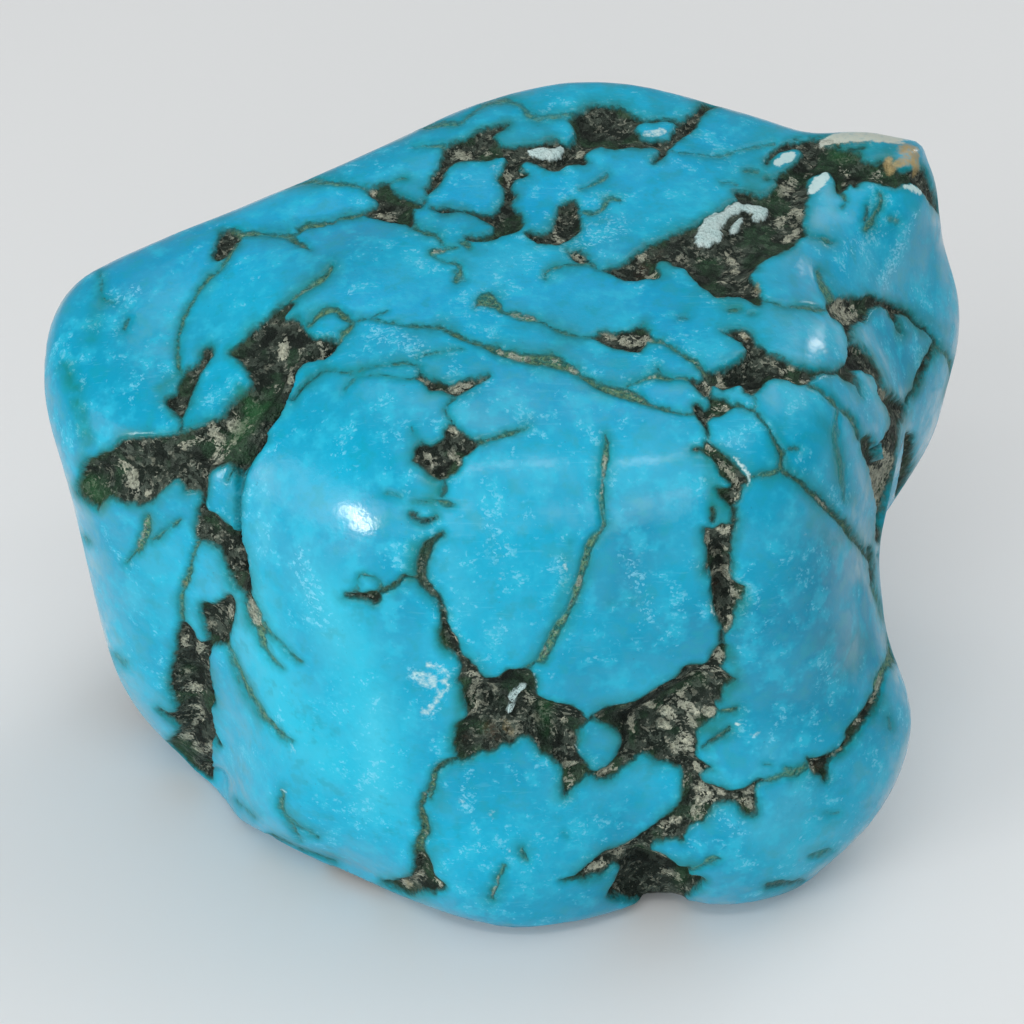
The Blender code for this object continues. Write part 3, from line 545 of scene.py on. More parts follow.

# Beige grit lying in the matrix. The stroke from 860,460 to 874,500 is painted reflection: pale grey where a sheen runs
# down the column's right edge.
PALE = [
    "248,606,8 252,616,9 256,624,8",
    "888,470,8 892,490,9 888,510,7",
    "200,404,9 205,412,8 212,432,12 214,452,11 206,466,7 222,452,9 232,428,6 240,412,5",
    "226,424,6 232,411,5", "176,445,6 186,441,7 196,436,6", "125,442,5 128,443,5", "112,470,10 122,480,14 132,490,9", "143,497,6 147,496,6",
    "282,331,7 278,342,8 275,350,6", "296,344,5 299,343,5", "318,342,6 323,349,6 316,355,6 309,358,4", "271,378,5 269,384,5",
    "285,360,6 286,375,6", "242,420,5 245,419,5", "195,515,4 195,541,4", "196,648,8 194,655,7", "182,640,5 182,650,5", "224,612,6 226,618,6",
    "184,694,9 189,699,9", "178,741,6 186,743,5", "191,752,9 199,754,11 205,752,6", "184,713,4 194,722,4 190,732,5 186,735,4",
    "143,524,5 141,538,5 137,546,4", "249,608,5 255,616,7 255,624,5",
    "500,350,6", "511,354,6 518,356,7 525,356,6", "546,358,5 553,359,6 559,361,4", "572,369,6 577,369,6", "512,314,6 520,315,7 532,316,6",
    "603,331,5 609,333,5 613,335,4", "621,338,6 632,338,8 640,334,10 646,338,8", "438,388,6 446,391,7 452,388,7 460,384,8 468,382,6", "416,377,4 424,381,5",
    "448,427,6 455,428,7", "449,450,5 455,455,6 460,462,7", "444,461,5", "426,452,5 432,462,5",
    "434,546,5 436,554,4", "434,572,5 435,582,6", "446,610,5 448,616,5", "453,632,4 458,642,5", "461,652,4", "357,588,2.5 362,574,2.5 369,577,2.5",
    "473,678,9 479,684,9 474,694,10", "471,697,8 475,705,9 476,713,8", "469,717,4",
    "516,680,4", "529,703,9 530,711,7", "566,723,5 569,729,6", "536,743,4 538,750,4", "548,738,3 557,740,3 556,746,3", "494,698,4 497,706,3",
    "565,768,5 572,770,7 578,768,5", "566,782,6 575,780,6 570,790,4", "597,778,5 604,773,8 611,770,8 617,771,5",
    "622,727,5 624,731,4", "636,722,6 633,732,8 636,740,5", "650,714,6 656,718,6", "668,722,8 674,724,8", "664,733,6 672,735,6",
    "683,716,6 692,714,7 697,718,5", "690,723,6 693,728,6", "706,715,8 713,716,8", "684,740,10 690,744,10 680,750,12 675,755,7 690,752,8",
    "716,655,9 721,659,13 723,663,9", "706,672,7 714,675,9 722,674,6", "694,684,6", "707,684,5", "652,691,5 657,689,4", "690,700,6 682,705,6",
    "695,768,6 700,774,6", "686,778,5 684,786,5", "697,792,9 704,795,10 700,789,8", "707,802,11 712,800,8", "698,806,9 694,812,9 690,818,9 698,818,8 704,815,6",
    "660,832,6 668,827,7 676,824,7", "738,802,5 746,807,5 752,810,4", "746,796,4 754,795,4", "726,796,4 716,793,5",
    "644,859,7 652,860,7 660,859,6 666,860,5", "660,868,6 663,872,6", "591,873,6 598,869,7 606,866,6", "612,854,3 622,849,3 634,842,3", "660,886,3 674,891,4",
    "402,885,4 408,890,4", "414,879,5 420,880,5", "434,886,5 440,887,5", "425,795,5", "420,858,3 424,864,3", "432,776,3 434,782,3",
    "708,538,6 711,545,5 705,542,4", "720,530,7 726,535,7 731,529,4", "716,560,8 722,556,8 724,563,6 714,554,4", "714,577,7 720,576,7", "724,576,7 730,574,7 728,582,7",
    "734,596,7 740,597,7", "731,620,6 733,627,5 727,632,5", "705,564,4 706,572,4", "721,548,3 728,554,3", "706,450,3 711,456,3", "708,445,4 713,452,5 718,449,3",
    "719,461,9 725,466,9", "730,471,8 734,479,8 738,484,5", "740,494,5 737,503,4", "694,448,5", "709,524,4", "704,601,3 712,614,3",
    "719,371,7 725,376,8 720,375,8", "706,382,5 711,388,5 708,394,5", "716,405,7 723,404,8 727,409,5", "712,414,4 708,420,3", "693,408,4", "742,330,6 747,335,6",
    "793,375,7 801,378,8 809,379,7", "785,366,5 799,364,5", "753,392,4 747,391,4", "842,300,7 838,306,10 846,309,10", "852,314,7 860,311,8 856,306,5", "838,316,4 852,321,4",
    "857,346,5 862,349,4", "887,390,6 891,396,7 888,397,5", "894,408,3 896,416,3", "906,420,3 905,432,3",
    "858,720,4 863,723,4 856,725,4", "812,770,5 816,766,5 814,772,5", "820,760,3 812,760,3", "836,755,4 842,750,4", "829,779,3", "875,698,4 881,684,4 882,676,4",
    "732,249,7 738,254,6", "736,260,6 742,262,5", "717,271,4 723,273,4", "792,176,8 796,177,7", "780,186,8 788,184,9", "781,215,8 788,210,8", "793,208,8 802,208,8 803,213,6",
    "790,234,9 798,230,8", "847,168,8 850,170,6", "845,178,6", "877,172,7 884,170,7", "883,180,5", "807,169,7 813,169,6", "824,143,8 830,143,8",
    "459,152,9 467,152,10", "488,149,7", "508,170,7 510,178,7", "523,168,7", "379,212,6 388,209,9 393,212,9 388,216,6", "372,190,7", "433,173,6", "434,251,5 440,249,6",
    "570,253,5 576,253,7 582,257,6", "582,145,8 579,150,7", "648,272,5 656,272,6", "640,254,5 646,250,4", "697,276,4",
    "650,376,4 655,374,4", "694,360,4", "604,455,4 605,462,4 602,494,4", "580,580,5 578,585,5", "545,650,4", "817,498,3 828,508,3", "499,880,5 497,886,5 493,895,4",
    # The stroke 860,460 to 874,500 is painted reflection, pale grey where a sheen runs down the column's right edge.
    "562,238,5 552,224,4", "720,293,5 728,294,5", "700,250,5", "755,290,4", "860,460,6 866,480,7 874,500,5", "893,452,7 898,470,8 890,486,8",
]

# White chalk or quartz. One stroke, from 734,457 to 746,488, is partly a painted highlight: a glint along a groove's
# far rim.
WHITE_AND_GLINT = [
    (.9, "531,151,6 540,150,9 549,151,10 557,150,10 562,147,6"),
    (.9, "700,234,9 706,228,14 712,222,15 718,218,12 724,214,9"), (.85, "716,230,14 710,234,13 702,237,9"),
    (.8, "728,210,8 737,205,9 747,203,7 757,205,8 765,208,9"), (.75, "734,225,8 738,219,7 742,215,5"), (.7, "757,212,9 764,211,8"),
    (.75, "786,158,12 793,154,8 778,163,9"), (.75, "812,190,9 818,183,14 825,176,10"), (.7, "906,186,6 913,188,7 919,192,7"),
    (.55, "646,133,7 655,134,9 663,131,8"), (.3, "493,167,9"), (.74, "822,141,7 836,138,10 852,136,11 870,136,11 888,138,10 904,141,8"),
    (1.2, "524,688,2.5 520,696,4 515,704,4.5 511,712,4.5 509,717,3"),
    # The first stroke here is partly painted highlight, a glint along a groove's far rim, partly chalk.
    (.6, "734,457,3 739,463,4 744,468,5 748,474,4 750,480,3 746,488,2"), (.8, "735,724,3 742,725,3"), (.6, "752,732,3 755,736,3"),
    (.5, "711,602,2.5 712,612,2.5 715,619,3"), (.4, "534,674,3 537,682,3 536,692,3"), (.4, "612,706,2 625,703,2"),
    (.7, "300,490,5 306,491,6 312,489,4"), (.5, "308,502,3"), (.5, "280,791,4 285,792,4"), (.4, "291,744,4 293,752,4 292,760,4"),
    (.55, "427,664,5 438,667,5.5 445,674,6 447,683,6 445,693,6 438,701,6 431,709,6 427,716,4"), (.50, "408,674,10 416,673,11 423,674,9 424,684,7"), (.46, "432,676,12 434,690,11"),
    (.5, "420,724,3 425,726,3"), (.35, "152,733,5 160,735,5"), (.3, "830,318,5 828,313,5"),
    (.5, "498,754,2"), (.5, "577,748,3 578,754,3"), (.45, "548,766,3 546,762,2"), (.5, "505,868,2.5"), (.4, "499,884,3"),
    (.45, "462,795,3 461,805,4 462,812,4"), (.45, "470,797,3 470,808,4 471,816,4"), (.4, "478,826,5 476,832,3"), (.4, "492,815,4 497,813,3"), (.4, "492,830,4"),
    (.35, "505,850,3 509,846,3 511,851,3 506,856,3"), (.5, "564,562,3 567,569,3"), (.4, "580,532,2.5 582,537,2.5"), (.35, "527,512,3 527,520,3"), (.35, "484,520,3 488,530,3"),
    (.35, "472,552,3 480,557,4"), (.3, "540,560,4 547,557,3"), (.35, "509,550,2 512,543,2"), (.3, "500,580,5 504,572,3"), (.3, "488,614,4 496,611,5 502,608,3"), (.3, "526,598,5"),
    (.35, "489,499,3"), (.4, "459,525,2.5"), (.5, "753,613,2.5"), (.4, "820,578,2.5"), (.35, "798,530,4 804,533,3"), (.3, "770,588,4 786,597,4"), (.3, "818,622,4"),
    (.4, "718,762,2.5"), (.35, "762,750,2.5"), (.4, "790,718,2.5"), (.3, "775,797,3"), (.3, "704,836,3 710,837,3"), (.35, "678,637,3 682,632,2"), (.3, "692,630,3"),
    (.4, "254,606,3"), (.3, "802,450,2 818,458,2"), (.3, "808,447,2 820,462,2"),
]

# Green stain round the matrix.
GREEN = [
    (.8, "836,150,9 848,154,10 862,154,10"), (.5, "872,150,14 892,150,12"),
    (.9, "66,366,12 78,404,13 88,440,12"), (.4, "100,300,16 90,340,16"), (1., "262,396,7 250,404,10 240,413,8"),
    (.9, "240,388,10 248,405,18 240,425,18 225,440,12"), (.8, "82,484,10 92,496,16 104,504,12"), (.7, "160,388,9 172,378,8 178,372,6"),
    (.35, "80,385,14 78,410,16 84,440,14"), (.6, "428,480,10 438,490,14 430,500,12 436,512,10"), (.6, "412,545,10 410,560,10 412,578,8"),
    (.6, "436,630,8 440,645,8 446,655,6"), (.65, "460,690,9 458,710,9 450,730,8 449,750,8"), (.7, "706,460,12 712,478,14 714,492,12 712,512,12"),
    (.6, "724,510,16 723,518,14"), (.5, "742,590,8 746,600,10 740,612,8"), (.55, "728,650,8 734,660,8 738,672,8"), (.6, "734,686,8 728,694,8"),
    (.75, "706,728,14 714,730,12 722,722,10"), (.5, "606,724,10 616,730,10"), (.6, "548,708,14 546,722,14 548,740,9"), (.5, "482,732,10"),
    (.5, "558,772,6 557,785,6"), (.6, "672,874,14 684,880,14 676,888,10"), (.5, "640,856,9 650,866,9"), (.55, "690,862,12 672,862,10"),
    (.5, "664,264,12 668,272,12"), (.6, "690,272,10"), (.5, "755,186,12 745,178,9 765,176,8"), (.6, "776,188,10"), (.6, "840,152,10 856,156,10"),
    (.5, "866,150,14 880,152,14"), (.55, "820,418,9 834,440,9 840,480,9"), (.4, "850,500,12"), (.5, "410,895,8 425,900,8"), (.5, "172,742,6 180,752,10 186,758,8"),
    (.5, "184,676,8"), (.35, "606,603,8 614,604,8"), (.3, "628,598,8 640,602,8"), (.4, "720,306,10 735,306,12"), (.3, "560,346,10"), (.4, "935,350,8 942,345,8"),
    (.35, "700,690,14"), (.4, "790,770,14 800,766,14"), (.4, "860,735,8 846,752,8"), (.3, "885,700,10 888,720,12"), (.3, "860,640,24 850,670,20"), (.25, "828,640,20"),
    (.3, "812,520,12 835,545,14"), (.5, "570,540,8 566,580,8 556,610,6"), (.35, "930,320,10 945,330,10"), (.3, "618,735,5"), (.4, "480,438,6"), (.5, "415,180,10 405,178,8"),
]

# Ochre crust.
OCHRE = [
    (.9, "889,160,9 893,168,8"), (.9, "914,162,9 918,171,7"),
    (.85, "901,150,9 908,149,13 915,153,11 912,160,12 904,161,11 896,165,8"), (.6, "757,284,5 759,290,6"), (.6, "404,885,4 409,890,4"),
    (.5, "505,728,8 512,736,9"), (.4, "690,724,5"), (.55, "822,141,8 836,139,12 852,138,12 870,137,12 888,139,12 902,142,10"), (.6, "183,586,7"), (.4, "742,330,6 748,336,5"), (.35, "596,212,6 602,209,6"), (.4, "824,290,6"),
    (.4, "500,432,4"), (.4, "950,390,6"), (.4, "693,360,4"),
]

# Rust in the matrix.
RUST = [
    (.7, "487,733,12 495,738,9"), (.5, "718,592,10"), (.6, "818,768,9"), (.5, "648,256,9 640,270,8"), (.4, "508,178,8"), (.4, "660,248,8"), (.5, "745,805,8"), (.4, "465,742,8"),
]

# Paler and deeper turquoise: here the paler, mostly painted sheen and painted reflection along ridges and bright bands,
# partly paler tone of the stone.
SHEEN_AND_HAZE = [
    (.8, "264,476,16 259,510,18 262,550,18"),
    (.65, "915,212,3 910,225,4 904,239,6 895,258,8 883,282,12"), (.4, "895,262,16 880,290,18"),
    (.5, "380,700,22 372,740,24 378,780,22 365,810,16"), (.35, "300,560,30 330,640,34"), (.35, "450,560,26 465,610,28"), (.3, "500,630,30"), (.4, "500,395,14 530,405,18"),
    (.35, "470,415,18 510,430,16"), (.4, "800,400,22 790,420,18"), (.35, "740,435,18"), (.35, "780,320,22 800,330,20"), (.5, "870,250,22 865,275,20"), (.35, "480,180,16"),
    (.35, "640,170,12"), (.4, "770,740,20 765,770,18"), (.35, "800,800,30 760,830,26"), (.3, "560,560,20"), (.35, "620,480,24 640,500,24"), (.3, "680,500,20"),
    (.35, "480,280,24 560,230,20"), (.3, "90,560,20"), (.4, "130,600,22"), (.4, "240,760,24"), (.3, "430,255,14 400,270,18"), (.35, "610,250,16"), (.3, "670,165,14"),
]


# --------------------------------------------------------- where the marks are
ALL_MATRIX = [path(t) for t in MATRIX.values()]
ALL_ISLANDS = [path(t) for t in ISLANDS.values()]
ALL_VEINS = [(tone, strength, path(t)) for tone, strength, t in VEINS]

# Cracks on the sides that the photograph doesn't show run where the nearest
# two of these points are equally near.
SEEDS = np.array(
    [
        [x * 8.6 + y % 2 * 4.3, y * 8.0, z * 8.2]
        for x in range(-4, 5)
        for y in range(-3, 5)
        for z in range(-1, 5)
    ]
)
SEEDS = SEEDS + 4.5 * np.stack([noise(SEEDS + 100, 3.7, k) for k in (11, 12, 13)], 1)


def hidden_cracks(points):
    """Signed distance in mm from the matrix of the unseen sides, and its tone."""
    bend = np.stack([rough_noise(points, 5.0, k, 3) for k in (21, 22, 23)], 1)
    small_bend = np.stack([noise(points, 1.7, k) for k in (24, 25, 26)], 1)
    p = points + 1.5 * bend + 0.30 * small_bend
    first = np.full(len(p), 1e9)
    second = first.copy()
    third = first.copy()
    who = np.zeros(len(p), int)
    other = np.zeros(len(p), int)
    for i, seed in enumerate(SEEDS):
        d = ((p - seed) ** 2).sum(1)
        is_first, is_second, is_third = d < first, d < second, d < third
        third = np.where(is_second, second, np.where(is_third, d, third))
        other = np.where(is_first, who, np.where(is_second, i, other))
        second = np.where(is_first, first, np.where(is_second, d, second))
        who = np.where(is_first, i, who)
        first = np.where(is_first, d, first)
    gap = np.sqrt(((SEEDS[who] - SEEDS[other]) ** 2).sum(1)) + 1e-6
    crack = (second - first) / (2 * gap)
    corner = np.sqrt(third) - np.sqrt(first)
    swell = rough_noise(points, 9.0, 31, 2)
    pair = lattice(who + other, who * other, who * 0, 5)
    width = 0.10 + 0.10 * pair + 1.05 * np.maximum(swell - 0.12, 0)
    width = width + 1.05 * np.exp(-((corner / 1.6) ** 2)) * step(swell, -0.35, 0.35)
    width = np.where(pair < -0.40, width - 0.5, width)
    tone = np.clip(0.35 + 0.45 * pair + 1.2 * (width - 0.2), 0.1, 1.0)
    return crack - width, tone


def marks(points, hidden):
    """Signed distance in mm to the nearest dark mark, its tone and strength."""
    u, v, _ = pixels(points)
    uv = np.stack([u, v], 1)
    wobble = np.stack([noise(points, 0.45, 41), noise(points, 0.45, 42)], 1)
    wobble = wobble + 0.6 * np.stack([noise(points, 0.22, 43), noise(points, 0.22, 44)], 1)
    uv = uv + 1.0 * wobble
    shown = np.flatnonzero(hidden < 6.0)
    away = np.maximum(hidden[shown] - 0.25, 0.0) * 0.55
    sd = np.full(len(points), 4.0)
    tone_sum = np.zeros(len(shown))
    strength_sum = np.zeros(len(shown))
    weight_sum = np.full(len(shown), 1e-9)
    best = np.full(len(shown), 4.0)
    islands = np.full(len(shown), -9.0)
    for outline in ALL_ISLANDS:
        islands = np.maximum(islands, -outline_distance(uv[shown], outline) / PX)
    for outline in ALL_MATRIX:
        d = np.maximum(outline_distance(uv[shown], outline) / PX, islands)
        weight = np.exp(-np.clip(d, -0.3, 2.5) / 0.10)
        tone_sum += weight
        strength_sum += weight
        weight_sum += weight
        best = np.minimum(best, d)
    for tone, strength, stroke in ALL_VEINS:
        d = stroke_distance(uv[shown], stroke) / PX
        weight = np.exp(-np.clip(d, -0.3, 2.5) / 0.10)
        tone_sum += weight * tone
        strength_sum += weight * strength
        weight_sum += weight
        best = np.minimum(best, d)
    sd[shown] = best + away
    tone = np.full(len(points), 0.6)
    strength = np.full(len(points), 1.0)
    tone[shown] = tone_sum / weight_sum
    strength[shown] = strength_sum / weight_sum

    unseen = np.flatnonzero(hidden > 0.6)
    far, far_tone = hidden_cracks(points[unseen])
    far = far + 0.9 * (1 - step(hidden[unseen], 1.0, 3.6))
    nearer = far < sd[unseen]
    sd[unseen] = np.minimum(sd[unseen], far)
    tone[unseen] = np.where(nearer, far_tone, tone[unseen])
    strength[unseen] = np.where(nearer, 1.0, strength[unseen])
    return sd, tone, strength


def covered(points, hidden, strokes, soft, reach):
    """How much the listed strokes cover each point, 0 to 1."""
    u, v, _ = pixels(points)
    uv = np.stack([u, v], 1)
    uv = uv + 0.8 * np.stack([noise(points, 0.3, 51), noise(points, 0.3, 52)], 1)
    shown = np.flatnonzero(hidden < reach)
    fade = 1 - step(hidden[shown], 0.4 * reach, reach)
    total = np.zeros(len(points))
    for amount, stroke in strokes:
        d = stroke_distance(uv[shown], stroke, 20.0 + 2 * soft)
        value = amount * (1 - step(d, -soft, soft)) * fade
        total[shown] = np.maximum(total[shown], value)
    return total


# ------------------------------------------------------------------ the mesh
# Small swellings and hollows of the outline, in mm outward, at pixels on it.
SWELLS = [
    (0.05, 901, 479), (0.60, 917, 434), (0.05, 940, 382), (-0.30, 958, 325), (-0.45, 955, 271), (-0.15, 940, 217),
    (0.45, 910, 158), (-0.10, 885, 138), (-0.40, 848, 129), (-0.55, 811, 126), (-0.30, 758, 111), (-0.30, 710, 98),
    (-0.20, 663, 87), (-0.15, 617, 80), (-0.15, 571, 81), (0.0, 527, 90), (0.05, 485, 103), (0.05, 445, 116),
    (-0.25, 406, 131), (-0.40, 369, 145), (-0.35, 332, 161), (-0.45, 295, 176), (-0.30, 257, 194), (-0.20, 218, 213),
    (0.05, 177, 234), (0.30, 131, 258), (0.30, 84, 285), (0.0, 52, 327), (-0.30, 40, 375), (-0.55, 43, 426),
    (-0.40, 59, 476), (-0.15, 77, 522), (0.05, 91, 565), (0.25, 104, 607), (0.45, 119, 647), (0.75, 137, 686),
    (0.50, 159, 723), (-0.15, 184, 758), (-0.20, 215, 790), (0.60, 248, 818), (0.05, 283, 842), (-0.55, 320, 863),
    (-0.75, 359, 880), (-0.20, 399, 895), (0.25, 440, 907), (0.60, 483, 916), (0.60, 527, 920), (0.55, 571, 915),
    (0.60, 612, 903), (1.00, 640, 882), (1.00, 664, 880), (0.60, 704, 892), (0.25, 762, 895), (-0.35, 813, 880), (-0.65, 856, 851),
    (-0.75, 890, 811), (-0.55, 909, 761), (0.0, 905, 703), (0.60, 880, 646), (0.10, 876, 599), (-0.70, 878, 559),
    (-0.20, 887, 521),
]

# Narrow ones, each with its own size in pixels. The last five make a crest.
NOTCHES = [
    (-0.9, 208, 788, 12), (0.35, 912, 150, 10), (0.3, 236, 822, 12),
    (0.25, 664, 890, 12), (0.15, 916, 209, 8), (0.18, 910, 225, 8), (0.18, 902, 243, 9), (0.15, 892, 263, 11), (0.10, 880, 284, 13),
]


def swollen(points):
    """The points with the outline's small swellings and hollows added."""
    u, v, _ = pixels(points)
    total = np.zeros(len(points))
    weight = np.full(len(points), 0.3)
    for amount, cu, cv in SWELLS:
        near = np.exp(-((u - cu) ** 2 + (v - cv) ** 2) / (2 * 34.0**2))
        total += near * amount
        weight += near
    push = 1.2 * total / weight
    for amount, cu, cv, size in NOTCHES:
        push = push + amount * np.exp(-((u - cu) ** 2 + (v - cv) ** 2) / (2 * size**2))
    push = push * step(points[:, 2], 0.1, 1.6)
    d = points - HEART
    return points + d / np.linalg.norm(d, axis=1)[:, None] * push[:, None]


FINEST = 0.185                    # mm, where a mark's edge runs


def split(points, faces, marked):
    """Splits the marked triangles in four and halves those left beside them."""
    ends = np.concatenate([faces[:, [0, 1]], faces[:, [1, 2]], faces[:, [2, 0]]])
    ends.sort(axis=1)
    edges, index = np.unique(ends, axis=0, return_inverse=True)
    index = index.reshape(3, -1).T            # face -> its three edges
    cut = np.zeros(len(edges), bool)
    while True:
        cut[index[marked]] = True
        count = cut[index].sum(1)
        more = (count == 2) & ~marked
        if not more.any():
            break
        marked = marked | more
    new = np.full(len(edges), -1)
    new[cut] = len(points) + np.arange(cut.sum())
    middle = points[edges[cut]].mean(1)
    points = np.concatenate([points, middle])
    count = cut[index].sum(1)
    keep = faces[count == 0]
    whole = faces[count == 3]
    a, b, c = whole.T
    ab, bc, ca = new[index[count == 3]].T
    four = np.concatenate(
        [np.stack(t, 1) for t in ((a, ab, ca), (b, bc, ab), (c, ca, bc), (ab, bc, ca))]
    )
    halves = []
    for k in range(3):
        rows = (count == 1) & cut[index[:, k]]
        p, q, r = faces[rows][:, k], faces[rows][:, (k + 1) % 3], faces[rows][:, (k + 2) % 3]
        m = new[index[rows][:, k]]
        halves += [np.stack([p, m, r], 1), np.stack([m, q, r], 1)]
    return points, np.concatenate([keep, four] + halves)


def onto_surface(points, span, rounds):
    """Moves points along rays from the heart onto the stone's surface."""
    d = points - HEART
    radius = np.linalg.norm(d, axis=1)
    d = d / radius[:, None]
    low, high = radius - span, radius + span
    if span > 5:
        low, high = np.full(len(d), 1.0), np.full(len(d), REACH)
        for r in np.linspace(REACH, 6.0, 50):
            inside = stone(HEART + d * r) < 0
            first = inside & (low < 1.5)
            low[first], high[first] = r, r + (REACH - 6.0) / 49
    for _ in range(rounds):
        middle = (low + high) / 2
        within = stone(HEART + d * middle[:, None]) < 0
        low, high = np.where(within, middle, low), np.where(within, high, middle)
    return HEART + d * ((low + high) / 2)[:, None]


def outward(points):
    e = 0.06
    slope = np.stack(
        [stone(points + e * axis) - stone(points - e * axis) for axis in np.eye(3)], 1
    )
    return slope / np.linalg.norm(slope, axis=1)[:, None]


def make_mesh():
    ball = bmesh.new()
    bmesh.ops.create_icosphere(ball, subdivisions=6, radius=1.0)
    points = np.array([v.co[:] for v in ball.verts], float)
    faces = np.array([[v.index for v in f.verts] for f in ball.faces])
    ball.free()
    points /= np.linalg.norm(points, axis=1)[:, None]
    points = onto_surface(HEART + points * 20.0, 20.0, 18)
    hidden = depth_hidden(points)
    sd, _, _ = marks(swollen(points), hidden)
    for level in range(6):
        corners = points[faces]
        sides = np.linalg.norm(corners - np.roll(corners, -1, axis=1), axis=2)
        size = sides.max(1)
        near = sd[faces].min(1)
        hid = hidden[faces].min(1)
        reach = np.abs(sd[faces]).min(1)
        cross = (sd[faces].max(1) > 0) & (near < 0)
        target = np.full(len(faces), 1.05)
        target = np.where(reach < 2.0, 0.90, target)
        target = np.where(reach < 0.8, 0.55, target)
        target = np.where((reach < 0.20) | (near < 0), 0.32, target)
        target = np.where((reach < 0.03) | cross, FINEST, target)
        target = np.where(hid > 1.5, np.maximum(target * 1.9, 0.36), target)
        marked = size > target
        if not marked.any():
            break
        before = len(points)
        points, faces = split(points, faces, marked)
        fresh = onto_surface(points[before:], 0.6, 13)
        points[before:] = fresh
        fresh_hidden = depth_hidden(fresh)
        fresh_sd, _, _ = marks(swollen(fresh), fresh_hidden)
        hidden = np.concatenate([hidden, fresh_hidden])
        sd = np.concatenate([sd, fresh_sd])
    return points, faces, hidden


# ------------------------------------------------------------ relief in mm
SUNK = [                          # extra depth where the photograph shows a hollow
    (0.35, "206,650,6 206,690,8 208,740,8 208,768,9"),
    (1.00, "336,342,7 312,358,9 292,382,11 272,414,12 252,446,10 240,474,8 234,505,6 236,540,8 242,575,7"),
    (0.35, "90,480,14 130,470,22 175,458,22 215,440,20 255,400,22 285,350,22"),
    (0.45, "480,700,18 520,705,22 570,735,22"), (0.45, "640,730,26 690,700,22 700,690,20"),
    (0.6, "640,868,16 665,880,20 690,885,14"), (0.5, "640,885,26 620,893,14"),
    (0.5, "885,440,14 885,480,18 882,520,10"), (0.4, "755,365,22 720,375,14"), (0.4, "720,590,18 722,560,16"),
    (0.35, "190,680,16 192,730,18"), (0.3, "700,265,30 740,250,26"), (0.3, "590,125,24 560,160,8"),
    (0.35, "425,870,12"), (0.35, "855,355,12 875,385,6 898,405,8"),
]

PALE_AND_LIT = [                         # painted light: broad paler parts of the turquoise on faces the lamps light more, partly paler tone
    (0.9, "255,600,40 270,700,50 330,760,50"), (0.9, "330,600,50 370,700,50 380,800,40"),
    (0.5, "160,620,30 150,560,30"), (0.5, "560,280,40 640,330,30"),
    (0.5, "820,830,30 780,860,30"), (0.5, "130,700,30 120,640,20"), (0.3, "840,330,25"), (0.25, "700,320,40"),
]
DEEP_AND_SHADED = [                          # painted shade: broad deeper ones on the right flank and low parts, partly deeper tone
    (0.40, "806,256,8 810,272,8"), (0.9, "876,322,16 888,342,18 904,362,20"), (1.0, "896,372,14 910,388,12"), (0.8, "862,596,18 868,630,20 876,664,16"), (0.5, "929,235,8 932,290,9"),
    (0.9, "620,590,45 640,520,30"), (0.9, "840,560,40 800,640,40 870,660,30"), (0.7, "700,640,30 760,700,40 860,720,30"),
    (0.6, "350,250,40 300,290,40 400,200,30"), (0.6, "200,230,30 120,290,30"), (0.5, "690,860,40"),
    (0.6, "560,650,40 600,740,40"), (0.85, "690,620,40 780,620,40 850,640,40"), (0.5, "620,820,50 700,850,40"),
    (0.3, "230,440,60 330,420,60 430,420,40"), (0.3, "200,330,50"), (0.7, "890,330,28 925,330,25"),
    (0.5, "640,640,45 700,660,45"), (0.5, "480,905,30 600,905,30"),
]
SKY_REFLECTION = [                           # painted reflection: broad bluer ones on the upward faces, for a bluish light from above
    (0.8, "130,270,50 300,230,60 420,200,50 560,200,60 700,150,50"), (0.8, "360,300,50 480,310,50 600,270,60 680,330,40"),
    (0.5, "500,380,40 600,420,40 700,360,40"), (0.5, "850,240,50 800,300,40"),
]
FROST_AND_SHEEN = [                         # where frosty flecks gather; the first stroke is painted sheen along the right crest
    (1.0, "915,212,3 910,225,4 904,239,6 896,257,8 884,280,11"),
    (1.0, "410,672,9 418,677,10"), (1.0, "430,664,4 440,667,4 447,676,4 448,686,4 444,697,4 437,707,4 429,714,4"), (0.8, "424,694,5 430,703,5"),
    (0.6, "464,786,11 466,812,11"), (0.5, "488,515,12 498,560,14"), (0.5, "560,560,14 575,600,14"), (0.5, "630,560,18 650,620,14"),
    (0.5, "110,300,16 140,290,14"), (0.5, "570,240,28 620,225,24"), (0.5, "380,330,20 420,350,20"), (0.4, "700,800,20 740,830,20"),
    (0.5, "480,440,14"), (0.4, "300,560,20 320,620,20"), (0.4, "690,560,10 750,600,20"), (0.4, "850,250,20 880,230,16"),
]
MATT = [                          # where the polish is dull
    (1.0, "803,252,11 805,264,11 808,278,9"), (0.8, "60,350,18 75,400,18 80,430,12"), (0.8, "112,438,9 130,434,8"), (0.9, "216,470,8 226,474,8"), (0.8, "428,472,9 440,470,8"),
    (0.9, "562,464,7 580,462,7 600,463,7"), (0.85, "672,460,8 690,457,8 704,455,8"), (1.0, "876,322,16 888,340,20 902,360,20 904,382,16"), (1.0, "862,590,18 868,630,20 874,664,16"), (1.0, "930,232,8 933,262,9 936,295,9"), (0.9, "808,300,6 816,304,6"), (0.8, "862,300,10 850,312,8"),
    (0.6, "560,500,12 480,510,12"),
]
